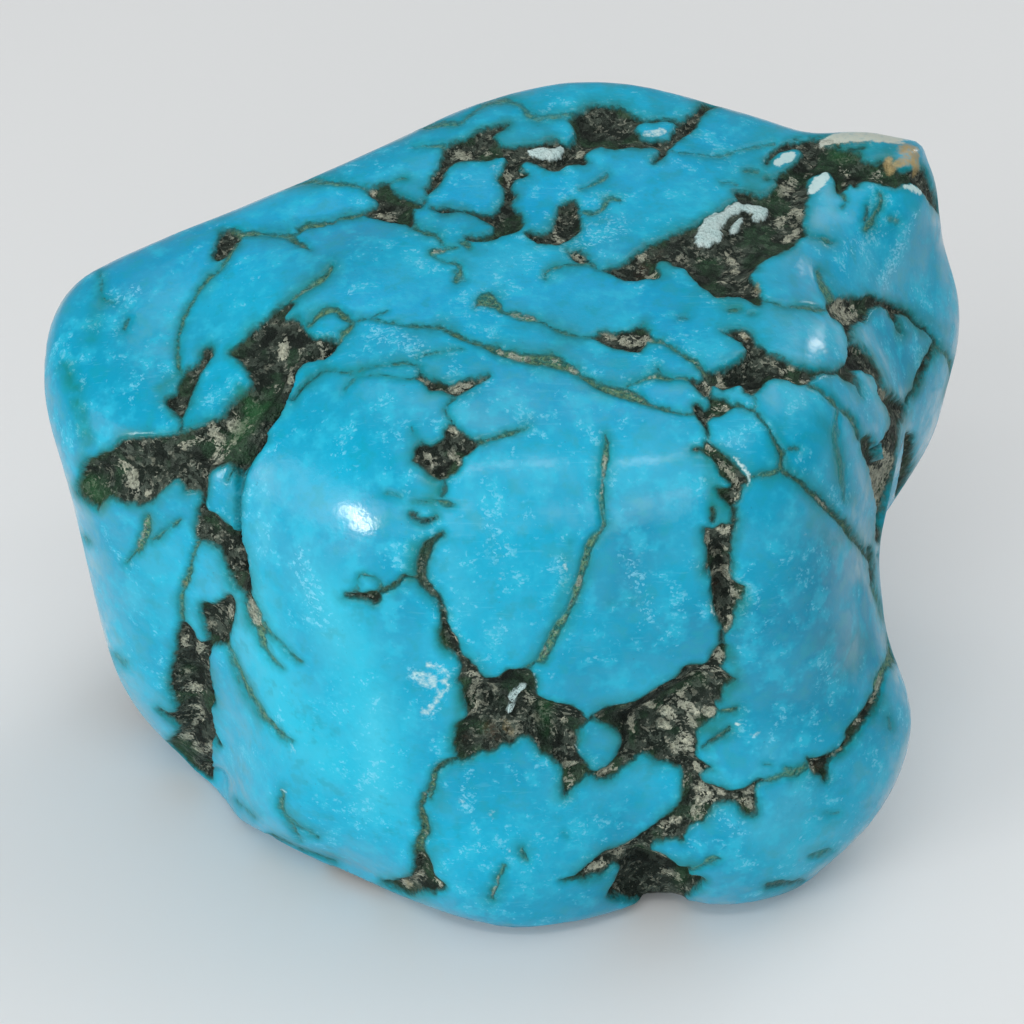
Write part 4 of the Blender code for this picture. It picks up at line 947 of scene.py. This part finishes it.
SHADE_AND_BLACK = [                         # painted shade: the blackest hollows and seams, partly black matrix
    (0.9, "494,686,8 512,680,9 528,688,7"), (0.7, "540,742,8 560,748,7"),
    (0.8, "618,724,10 640,722,9 600,732,7"), (0.7, "640,706,9 668,700,8"),
    (0.9, "322,350,4 300,370,6 283,394,8 268,424,9 252,450,8 242,474,6 234,505,4 233,540,4"),
    (0.7, "262,338,9 275,325,8 300,338,8"), (0.6, "272,385,9 262,405,9"), (0.6, "190,455,9 215,470,8"), (0.6, "150,455,9 170,470,7"),
    (0.8, "236,545,5 240,570,6 246,590,5"), (0.6, "188,640,7 186,665,7 190,690,6"), (0.7, "190,735,8 198,752,7"),
    (0.7, "752,370,9 770,378,8 735,378,8"), (0.7, "855,348,6 866,366,6 858,358,6"), (0.7, "714,560,6 724,545,6 722,590,7 728,606,6"),
    (0.8, "700,268,9 720,258,9 690,282,8"), (0.7, "745,262,9 760,250,8"), (0.7, "795,165,8 830,172,8 860,176,7"),
    (0.7, "588,122,9 600,135,8 575,112,7"), (0.7, "636,868,7 655,880,7 680,886,6"), (0.8, "438,468,7 452,460,6"),
    (0.7, "430,548,5 434,575,5 442,604,5"), (0.7, "880,497,5"), (0.6, "385,205,8 395,196,6"), (0.6, "508,205,7 516,222,6"),
]


def relief(points, sd, tone, strength, hidden, pale, white_and_glint):
    """How far the surface sinks below the smooth stone, in mm."""
    inside = np.maximum(-sd, 0.0)
    rim = step(-sd, -0.11, 0.10)
    deep = 0.07 + (0.10 + 0.34 * tone) * (1 - np.exp(-inside / 0.42))
    grit = 0.085 * rough_noise(points, 1.1, 61, 3) + 0.05 * noise(points, 0.38, 65)
    sunk = covered(points, hidden, [(a, path(t)) for a, t in SUNK], 9.0, 4.0)
    matrix = rim * strength * (deep + (0.25 + 0.75 * tone) * grit * step(inside, 0.0, 0.25) - 0.05 * pale + sunk)
    matrix = matrix * (1 - 0.75 * white_and_glint)
    waves = 0.045 * noise(points, 5.5, 71) + 0.022 * noise(points, 2.6, 72) + 0.006 * noise(points, 1.2, 73)
    shoulder = 0.03 * np.exp(-np.maximum(sd, 0) / 0.35) * strength
    return matrix + shoulder + waves


def strokes(rows, amount=None):
    if amount is None:
        return [(a, path(t)) for a, t in rows]
    return [(amount, path(t)) for t in rows]


def make_stone():
    smooth, faces, hidden = make_mesh()
    points = swollen(smooth)
    sd, tone, strength = marks(points, hidden)
    # Beige grit in the matrix, and painted reflection in one stroke down the column's right edge.
    pale = covered(points, hidden, strokes(PALE, 1.0), 1.6, 2.5)
    # Chalk and quartz, and one painted highlight: a glint along a groove's rim.
    white_and_glint = covered(points, hidden, strokes(WHITE_AND_GLINT), 1.4, 2.0)
    green = covered(points, hidden, strokes(GREEN), 7.0, 3.0)
    ochre = covered(points, hidden, strokes(OCHRE), 3.0, 2.5)
    rust = covered(points, hidden, strokes(RUST), 4.0, 2.5)
    # Painted sheen and painted reflection along ridges and bright bands, partly paler tone; on the unseen sides paler
    # tone only.
    sheen_and_haze = covered(points, hidden, strokes(SHEEN_AND_HAZE), 14.0, 3.0)
    back = step(hidden, 0.8, 3.0)
    pale = np.maximum(pale, back * step(rough_noise(points, 1.5, 81), 0.10, 0.42) * 0.9)
    green = np.maximum(green, back * 0.8 * step(rough_noise(points, 3.0, 82), 0.15, 0.6) * (1 - step(sd, 0.0, 0.9)))
    sheen_and_haze = np.maximum(sheen_and_haze, back * 0.5 * step(rough_noise(points, 7.0, 83), 0.1, 0.7))
    white_and_glint = np.maximum(white_and_glint, back * 0.60 * step(rough_noise(points, 2.6, 84), 0.50, 0.62) * (sd < 0.1))
    ochre = np.maximum(ochre, back * 0.5 * step(rough_noise(points, 2.2, 85), 0.35, 0.6) * (1 - step(sd, 0.0, 0.3)))

    drift = step(rough_noise(points, 6.5, 91, 3), -0.45, 0.45)
    areas = step(rough_noise(points, 2.8, 92, 2), -0.35, 0.45)
    blotch = step(rough_noise(points, 1.3, 93, 3), -0.15, 0.35)
    spread = 0.42 + 0.50 * step(rough_noise(points, 1.4, 94, 2), -0.35, 0.4)
    # Painted light: broad paler turquoise on faces the lamps light more, partly paler tone of the stone.
    pale_and_lit = covered(points, hidden, strokes(PALE_AND_LIT), 38.0, 3.0)
    # Painted shade: broad deeper turquoise on the right flank and low parts, partly deeper tone of the stone.
    deep = covered(points, hidden, strokes(DEEP_AND_SHADED), 38.0, 3.0)
    # Painted reflection: bluer turquoise on the upward faces, for a bluish light from above.
    sky_reflection = covered(points, hidden, strokes(SKY_REFLECTION), 38.0, 3.0)
    # Frosty flecks, and painted sheen along the right crest.
    frost_and_sheen = covered(points, hidden, strokes(FROST_AND_SHEEN), 5.0, 3.0)
    matt = covered(points, hidden, strokes(MATT), 7.0, 3.0)
    # Painted shade in the hollows and seams in front, and black matrix in patches on the unseen sides.
    black = covered(points, hidden, strokes(SHADE_AND_BLACK), 4.0, 3.0)
    black = np.maximum(black, back * step(rough_noise(points, 1.6, 95), 0.05, 0.35))

    normals = outward(smooth)
    sunk = relief(points, sd, tone, strength, hidden, pale, white_and_glint)
    placed = points - normals * sunk[:, None]
    placed[:, 2] = np.maximum(placed[:, 2], 0.0)
    placed = (placed - CENTRE) * MM

    mesh = bpy.data.meshes.new("turquoise_nugget")
    mesh.from_pydata(placed.tolist(), [], faces.tolist())
    mesh.update()
    mesh.shade_smooth()
    for name, values in (
        ("sd", sd), ("tone", tone), ("strength", strength), ("pale", pale), ("white_and_glint", white_and_glint),
        ("green", green), ("ochre", ochre), ("rust", rust), ("sheen_and_haze", sheen_and_haze), ("black", black), ("pale_and_lit", pale_and_lit), ("deep", deep),
        ("sky_reflection", sky_reflection), ("matt", matt), ("frost_and_sheen", frost_and_sheen),
        ("drift", drift), ("areas", areas), ("blotch", blotch), ("spread", spread),
    ):
        layer = mesh.attributes.new(name, "FLOAT", "POINT")
        layer.data.foreach_set("value", np.ascontiguousarray(values, np.float32))
    piece = bpy.data.objects.new("turquoise_nugget", mesh)
    bpy.context.scene.collection.objects.link(piece)
    return piece


# ------------------------------------------------------------- the material
class Graph:
    """Short ways to write a material's nodes."""

    def __init__(self, name):
        self.material = bpy.data.materials.new(name)
        self.material.use_nodes = True
        self.tree = self.material.node_tree
        self.shader = next(n for n in self.tree.nodes if n.type == "BSDF_PRINCIPLED")

    def put(self, socket, value):
        if isinstance(value, bpy.types.NodeSocket):
            self.tree.links.new(value, socket)
        elif value is not None:
            socket.default_value = value

    def math(self, kind, a, b=None, c=None, clamp=False):
        node = self.tree.nodes.new("ShaderNodeMath")
        node.operation, node.use_clamp = kind, clamp
        for socket, value in zip(node.inputs, (a, b, c)):
            self.put(socket, value)
        return node.outputs[0]

    def step(self, value, low, high, to_low=0.0, to_high=1.0):
        node = self.tree.nodes.new("ShaderNodeMapRange")
        node.interpolation_type = "SMOOTHSTEP"
        for name, v in (
            ("Value", value), ("From Min", low), ("From Max", high), ("To Min", to_low), ("To Max", to_high),
        ):
            self.put(node.inputs[name], v)
        return node.outputs[0]

    def mix(self, amount, a, b, kind="MIX"):
        node = self.tree.nodes.new("ShaderNodeMix")
        node.data_type, node.blend_type, node.clamp_factor = "RGBA", kind, True
        self.put(node.inputs[0], amount)
        self.put(node.inputs[6], a if isinstance(a, bpy.types.NodeSocket) else (*a, 1.0))
        self.put(node.inputs[7], b if isinstance(b, bpy.types.NodeSocket) else (*b, 1.0))
        return node.outputs[2]

    def attribute(self, name):
        node = self.tree.nodes.new("ShaderNodeAttribute")
        node.attribute_name = name
        return node.outputs["Fac"]

    def place(self, stretch=(1.0, 1.0, 1.0), turn=(0.0, 0.0, 0.0)):
        coordinates = self.tree.nodes.new("ShaderNodeTexCoord")
        node = self.tree.nodes.new("ShaderNodeMapping")
        self.put(node.inputs["Vector"], coordinates.outputs["Object"])
        node.inputs["Scale"].default_value = [1000.0 * s for s in stretch]
        node.inputs["Rotation"].default_value = turn
        return node.outputs[0]

    def noise(self, where, size, detail=2.0, rough=0.5, shift=0.0, warp=0.0, output="Fac"):
        moved = self.tree.nodes.new("ShaderNodeVectorMath")
        moved.operation = "ADD"
        self.put(moved.inputs[0], where)
        moved.inputs[1].default_value = (7.3 * shift, 3.1 * shift, 5.7 * shift)
        node = self.tree.nodes.new("ShaderNodeTexNoise")
        self.put(node.inputs["Vector"], moved.outputs[0])
        node.inputs["Scale"].default_value = 1.0 / size
        node.inputs["Detail"].default_value = detail
        node.inputs["Roughness"].default_value = rough
        node.inputs["Distortion"].default_value = warp
        return node.outputs[output]

    def grains(self, where, size):
        """One random colour per grain: three separate random numbers."""
        node = self.tree.nodes.new("ShaderNodeTexVoronoi")
        self.put(node.inputs["Vector"], where)
        node.inputs["Scale"].default_value = 1.0 / size
        parts = self.tree.nodes.new("ShaderNodeSeparateColor")
        self.put(parts.inputs[0], node.outputs["Color"])
        return parts.outputs

    def bent(self, where, pushes, amount):
        join = self.tree.nodes.new("ShaderNodeCombineXYZ")
        for socket, value in zip(join.inputs, pushes):
            self.put(socket, value)
        push = self.tree.nodes.new("ShaderNodeVectorMath")
        push.operation = "MULTIPLY_ADD"
        self.put(push.inputs[0], join.outputs[0])
        push.inputs[1].default_value = (amount, amount, amount)
        self.put(push.inputs[2], where)
        return push.outputs[0]


BLUE_DEEP = (0.000, 0.275, 0.435)
BLUE = (0.002, 0.350, 0.535)
BLUE_PALE = (0.022, 0.440, 0.610)
BLUE_GREEN = (0.000, 0.280, 0.360)


def turquoise():
    g = Graph("turquoise_polished")
    mm = g.place()
    sd, tone, strength = g.attribute("sd"), g.attribute("tone"), g.attribute("strength")
    pale, white_and_glint, green = g.attribute("pale"), g.attribute("white_and_glint"), g.attribute("green")
    ochre, rust, sheen_and_haze = g.attribute("ochre"), g.attribute("rust"), g.attribute("sheen_and_haze")
    drift, areas, blotch = g.attribute("drift"), g.attribute("areas"), g.attribute("blotch")
    spread, black = g.attribute("spread"), g.attribute("black")
    pale_and_lit, deep, sky_reflection = g.attribute("pale_and_lit"), g.attribute("deep"), g.attribute("sky_reflection")
    matt, frost_and_sheen = g.attribute("matt"), g.attribute("frost_and_sheen")
    mid = g.noise(mm, 0.75, 2, 0.6, 2.0)
    fine = g.noise(mm, 0.24, 2, 0.65, 4.0)

    toned = g.step(tone, 0.30, 0.90)
    ragged = g.math("MULTIPLY_ADD", fine, 0.18, g.math("MULTIPLY_ADD", mid, 0.30, -0.165))
    edge = g.math("ADD", sd, g.math("MULTIPLY_ADD", toned, -0.030, ragged))
    matrix = g.math("MULTIPLY", g.step(edge, -0.105, 0.065, 1.0, 0.0), strength)

    # Turquoise: blue drifts, broad painted light and painted shade, a painted bluish reflection on the upward faces,
    # paler clouds, painted sheen, frosty flecks and fine scratches.
    clouds = g.noise(mm, 1.3, 3, 0.62, 5.0)
    small = g.grains(g.bent(mm, (fine, mid, clouds), 0.55), 0.125)
    colour = g.mix(drift, BLUE_DEEP, BLUE)
    # Painted light: broad paler turquoise on faces the lamps light more, partly paler tone.
    colour = g.mix(g.math("MULTIPLY", pale_and_lit, 0.70), colour, (0.020, 0.500, 0.660))
    # Painted reflection: bluer turquoise on the upward faces, for a bluish light from above.
    colour = g.mix(g.math("MULTIPLY", sky_reflection, 0.75), colour, (0.000, 0.300, 0.560))
    # Painted shade: deeper turquoise on the right flank and low parts, partly deeper tone.
    colour = g.mix(g.math("MULTIPLY", deep, 0.85), colour, (0.000, 0.185, 0.315))
    colour = g.mix(g.step(clouds, 0.46, 0.68, 0.0, 0.55), colour, BLUE_PALE)
    colour = g.mix(g.step(clouds, 0.32, 0.46, 0.5, 0.0), colour, BLUE_GREEN)
    # Painted sheen and reflection: hazier, paler turquoise along ridges and bright bands, partly paler tone.
    colour = g.mix(g.math("MULTIPLY", sheen_and_haze, g.step(mid, 0.30, 0.65, 0.15, 0.60)), colour, (0.110, 0.520, 0.660))
    clump = g.step(g.math("MULTIPLY_ADD", mid, 0.45, g.math("MULTIPLY", clouds, 0.55)), 0.47, 0.66, 0.0, 0.70)
    share = g.math("MULTIPLY", clump, g.math("MULTIPLY_ADD", areas, 0.85, 0.15))
    # The flecks also gather where sheen is painted, so along the right crest they are painted highlight.
    share = g.math("MULTIPLY_ADD", sheen_and_haze, 0.15, g.math("MULTIPLY_ADD", frost_and_sheen, 0.70, share))
    flecks = g.step(g.math("ADD", share, small[2]), 0.95, 1.20)
    flecks = g.math("MULTIPLY", flecks, g.step(fine, 0.36, 0.62, 0.25, 1.0))
    colour = g.mix(g.math("MULTIPLY", flecks, g.math("MULTIPLY_ADD", frost_and_sheen, 0.30, 0.42)), colour, (0.240, 0.600, 0.750))
    lines = g.noise(g.place((0.35, 3.5, 3.5), (0.0, 0.20, 0.25)), 0.55, 1, 0.6, 11.0)
    scratches = g.math("MULTIPLY", g.step(lines, 0.62, 0.70), g.step(areas, 0.3, 0.9, 0.01, 0.08))
    colour = g.mix(scratches, colour, (0.190, 0.560, 0.720))
    colour = g.mix(g.step(fine, 0.235, 0.285, 0.40, 0.0), colour, (0.004, 0.120, 0.190))
    colour = g.mix(g.math("MULTIPLY", green, g.step(mid, 0.30, 0.62, 0.60, 1.0)), colour, (0.004, 0.165, 0.135))

    # Round the matrix the turquoise turns teal, then dark green.
    out = g.math("DIVIDE", edge, spread)
    teal = g.step(out, 0.0, 1.0, 0.50, 0.0)
    colour = g.mix(g.math("MULTIPLY", teal, strength), colour, (0.010, 0.150, 0.112))
    close = g.step(out, -0.05, 0.36, 0.55, 0.0)
    colour = g.mix(g.math("MULTIPLY", close, strength), colour, g.mix(toned, (0.010, 0.140, 0.110), (0.010, 0.080, 0.050)))

    # Matrix: a mosaic of black, brown, grey and green grains with pale ones among them.
    one, two, three = g.grains(g.bent(mm, (mid, clouds, fine), 0.90), 0.33)[:3]
    dark = g.mix(g.step(one, 0.30, 1.0), (0.010, 0.016, 0.012), (0.058, 0.076, 0.060))
    dark = g.mix(g.step(blotch, 0.3, 1.0, 0.0, 0.62), dark, g.mix(two, (0.009, 0.028, 0.015), (0.036, 0.090, 0.045)))
    dark = g.mix(g.math("MULTIPLY", rust, g.step(fine, 0.35, 0.6, 0.0, 0.5)), dark, (0.095, 0.038, 0.018))
    olive = g.mix(g.step(fine, 0.36, 0.64), (0.016, 0.132, 0.112), (0.155, 0.280, 0.145))
    rock = g.mix(g.step(tone, 0.35, 0.95, 0.10, 1.0), olive, dark)
    grit = g.math("MULTIPLY_ADD", pale, 0.68, g.math("MULTIPLY_ADD", blotch, -0.20, 0.03))
    grit = g.math("MULTIPLY_ADD", g.step(mid, 0.36, 0.64, -0.12, 0.14), 1.0, grit)
    # Painted shade: in the blackest hollows and seams the pale grains thin out; on the unseen sides this is black
    # matrix.
    grit = g.math("MULTIPLY_ADD", black, -0.6, grit)
    big = g.step(g.math("SUBTRACT", grit, three), -0.05, 0.12)
    tiny = g.step(g.math("SUBTRACT", g.math("MULTIPLY_ADD", grit, 0.75, 0.11), small[0]), -0.05, 0.08)
    pale_grain = g.math("MULTIPLY", big, g.step(fine, 0.30, 0.52, 0.20, 1.0))
    grain_colour = g.mix(one, (0.220, 0.235, 0.180), (0.520, 0.530, 0.410))
    dull = g.mix(one, (0.070, 0.080, 0.060), (0.240, 0.250, 0.195))
    grain_colour = g.mix(g.step(pale, 0.0, 0.8, 0.15, 1.0), dull, grain_colour)
    grain_colour = g.mix(g.step(small[1], 0.55, 1.0, 0.0, 0.4), grain_colour, (0.080, 0.088, 0.070))
    rock = g.mix(g.math("MULTIPLY", pale_grain, 0.92), rock, grain_colour)
    rock = g.mix(g.math("MULTIPLY", tiny, g.step(pale, 0.0, 0.6, 0.38, 0.70)), rock, g.mix(three, (0.200, 0.225, 0.175), (0.440, 0.460, 0.370)))
    rock = g.mix(g.step(small[1], 0.62, 0.90, 0.0, 0.45), rock, (0.010, 0.018, 0.013))
    rock = g.mix(g.math("MULTIPLY", green, g.step(mid, 0.3, 0.6, 0.35, 0.85)), rock, (0.016, 0.085, 0.028))
    rim = g.math("MULTIPLY", g.step(edge, -0.14, -0.02, 0.0, 0.50), g.math("MULTIPLY_ADD", toned, 0.85, 0.15))
    rock = g.mix(rim, rock, (0.012, 0.050, 0.036))
    # Painted shade: near black in the hollows and seams, black matrix on the unseen sides.
    rock = g.mix(g.math("MULTIPLY", black, 0.80), rock, (0.003, 0.004, 0.0035))

    colour = g.mix(matrix, colour, rock)
    ochre_on = g.step(g.math("MULTIPLY_ADD", fine, 0.9, ochre), 0.65, 1.45)
    colour = g.mix(ochre_on, colour, g.mix(mid, (0.200, 0.150, 0.050), (0.440, 0.360, 0.190)))
    # The chalk also carries one painted highlight, a glint along a groove's rim.
    chalk = g.step(g.math("MULTIPLY_ADD", fine, 0.9, white_and_glint), 0.68, 1.18, 0.0, 0.88)
    powder = g.mix(g.math("MULTIPLY", ochre, 1.3), g.mix(mid, (0.380, 0.600, 0.600), (0.600, 0.700, 0.680)), (0.520, 0.520, 0.420))
    colour = g.mix(chalk, colour, powder)
    g.put(g.shader.inputs["Base Color"], colour)

    # The polish is a thin coat over the turquoise, worn off the matrix and the chalk.
    roughness = g.step(clouds, 0.35, 0.66, 0.34, 0.50)
    g.put(g.shader.inputs["Roughness"], g.math("MULTIPLY_ADD", matrix, 0.35, roughness))
    worn = g.math("MAXIMUM", g.math("MULTIPLY", flecks, 0.5), g.math("MULTIPLY", chalk, 0.85))
    worn = g.math("MAXIMUM", g.math("MULTIPLY", matrix, 0.90), worn)
    worn = g.math("MAXIMUM", matt, worn)
    worn = g.math("MAXIMUM", g.step(edge, 0.0, 0.55, 0.85, 0.0), worn)
    smear = g.step(g.math("MULTIPLY_ADD", areas, 0.35, g.math("ADD", mid, clouds)), 0.85, 1.40, 1.0, 0.30)
    g.put(g.shader.inputs["Coat Weight"], g.math("MULTIPLY", g.math("SUBTRACT", 1.0, worn), smear))
    g.shader.inputs["Coat Roughness"].default_value = 0.15
    g.shader.inputs["Coat IOR"].default_value = 1.42
    g.shader.inputs["Specular IOR Level"].default_value = 0.12
    g.shader.inputs["IOR"].default_value = 1.50

    pits = g.tree.nodes.new("ShaderNodeBump")
    pits.inputs["Strength"].default_value = 1.0
    pits.inputs["Distance"].default_value = 0.00030
    g.put(pits.inputs["Height"], g.math("MULTIPLY", fine, g.math("MULTIPLY_ADD", matrix, 0.95, 0.03)))
    g.put(g.shader.inputs["Normal"], pits.outputs[0])
    g.put(g.shader.inputs["Coat Normal"], pits.outputs[0])
    return g.material


# ------------------------------------------------------------- floor, lights
def floor():
    half = 2.0
    mesh = bpy.data.meshes.new("floor")
    mesh.from_pydata([(-half, -half, 0), (half, -half, 0), (half, half, 0), (-half, half, 0)], [], [(0, 1, 2, 3)])
    obj = bpy.data.objects.new("floor", mesh)
    bpy.context.scene.collection.objects.link(obj)
    g = Graph("floor_paper")
    g.shader.inputs["Base Color"].default_value = (0.72, 0.735, 0.74, 1.0)
    g.shader.inputs["Roughness"].default_value = 0.75
    g.shader.inputs["Specular IOR Level"].default_value = 0.25
    mesh.materials.append(g.material)


def soft_light(name, azimuth, elevation, distance, size, watts, roll=0.0, aim=(0.0, -0.003, 0.016)):
    """A square or oblong lamp facing the stone. Azimuth 0 is the camera's side."""
    a, e = math.radians(azimuth), math.radians(elevation)
    from_aim = np.array([math.sin(a) * math.cos(e), -math.cos(a) * math.cos(e), math.sin(e)])
    data = bpy.data.lights.new(name, "AREA")
    data.shape = "RECTANGLE"
    data.size, data.size_y = size
    data.energy = watts
    lamp = bpy.data.objects.new(name, data)
    place = Vector(aim) + Vector(from_aim.tolist()) * distance
    lamp.location = place
    facing = (Vector(aim) - place).to_track_quat("-Z", "Y")
    lamp.rotation_euler = (facing @ Quaternion((0, 0, 1), math.radians(roll))).to_euler()
    bpy.context.scene.collection.objects.link(lamp)


def lights():
    world = bpy.data.worlds.new("room")
    bpy.context.scene.world = world
    world.use_nodes = True
    background = next(n for n in world.node_tree.nodes if n.type == "BACKGROUND")
    background.inputs["Color"].default_value = (1.0, 1.0, 1.0, 1.0)
    background.inputs["Strength"].default_value = 0.28
    soft_light("left_window", -52, 12, 0.45, (0.030, 0.15), 0.72, roll=56)
    soft_light("front_strip", 0, 60, 0.50, (0.36, 0.05), 0.30)
    soft_light("back_right_strip", 137, 17, 0.50, (0.035, 0.14), 0.14)
    soft_light("front_softbox", 0, 40, 0.60, (0.5, 0.5), 0.80)
    soft_light("front_low_softbox", -10, 16, 0.60, (0.5, 0.25), 0.68)
    soft_light("left_low_softbox", -60, 15, 0.60, (0.45, 0.25), 0.58)
    soft_light("top_softbox", 0, 88, 0.60, (0.6, 0.6), 0.85)
    soft_light("top_back_softbox", 180, 68, 0.60, (0.5, 0.3), 0.22)
    soft_light("back_right_softbox", 125, 50, 0.60, (0.4, 0.4), 0.75)


def camera():
    data = bpy.data.cameras.new("camera")
    data.sensor_width, data.sensor_fit = 36.0, "HORIZONTAL"
    data.lens = 36.0 * FOCAL / 1024.0
    data.clip_start, data.clip_end = 0.01, 20.0
    obj = bpy.data.objects.new("camera", data)
    obj.location = ((EYE - CENTRE) * MM).tolist()
    obj.rotation_euler = (math.radians(90) - ELEVATION, 0.0, 0.0)
    bpy.context.scene.collection.objects.link(obj)
    bpy.context.scene.camera = obj


def main():
    camera()
    piece = make_stone()
    piece.data.materials.append(turquoise())
    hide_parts("nugget")
    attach(piece, "root")
    floor()
    lights()
    bpy.context.scene.view_settings.view_transform = "Standard"
    print("triangles", len(piece.data.polygons))


main()
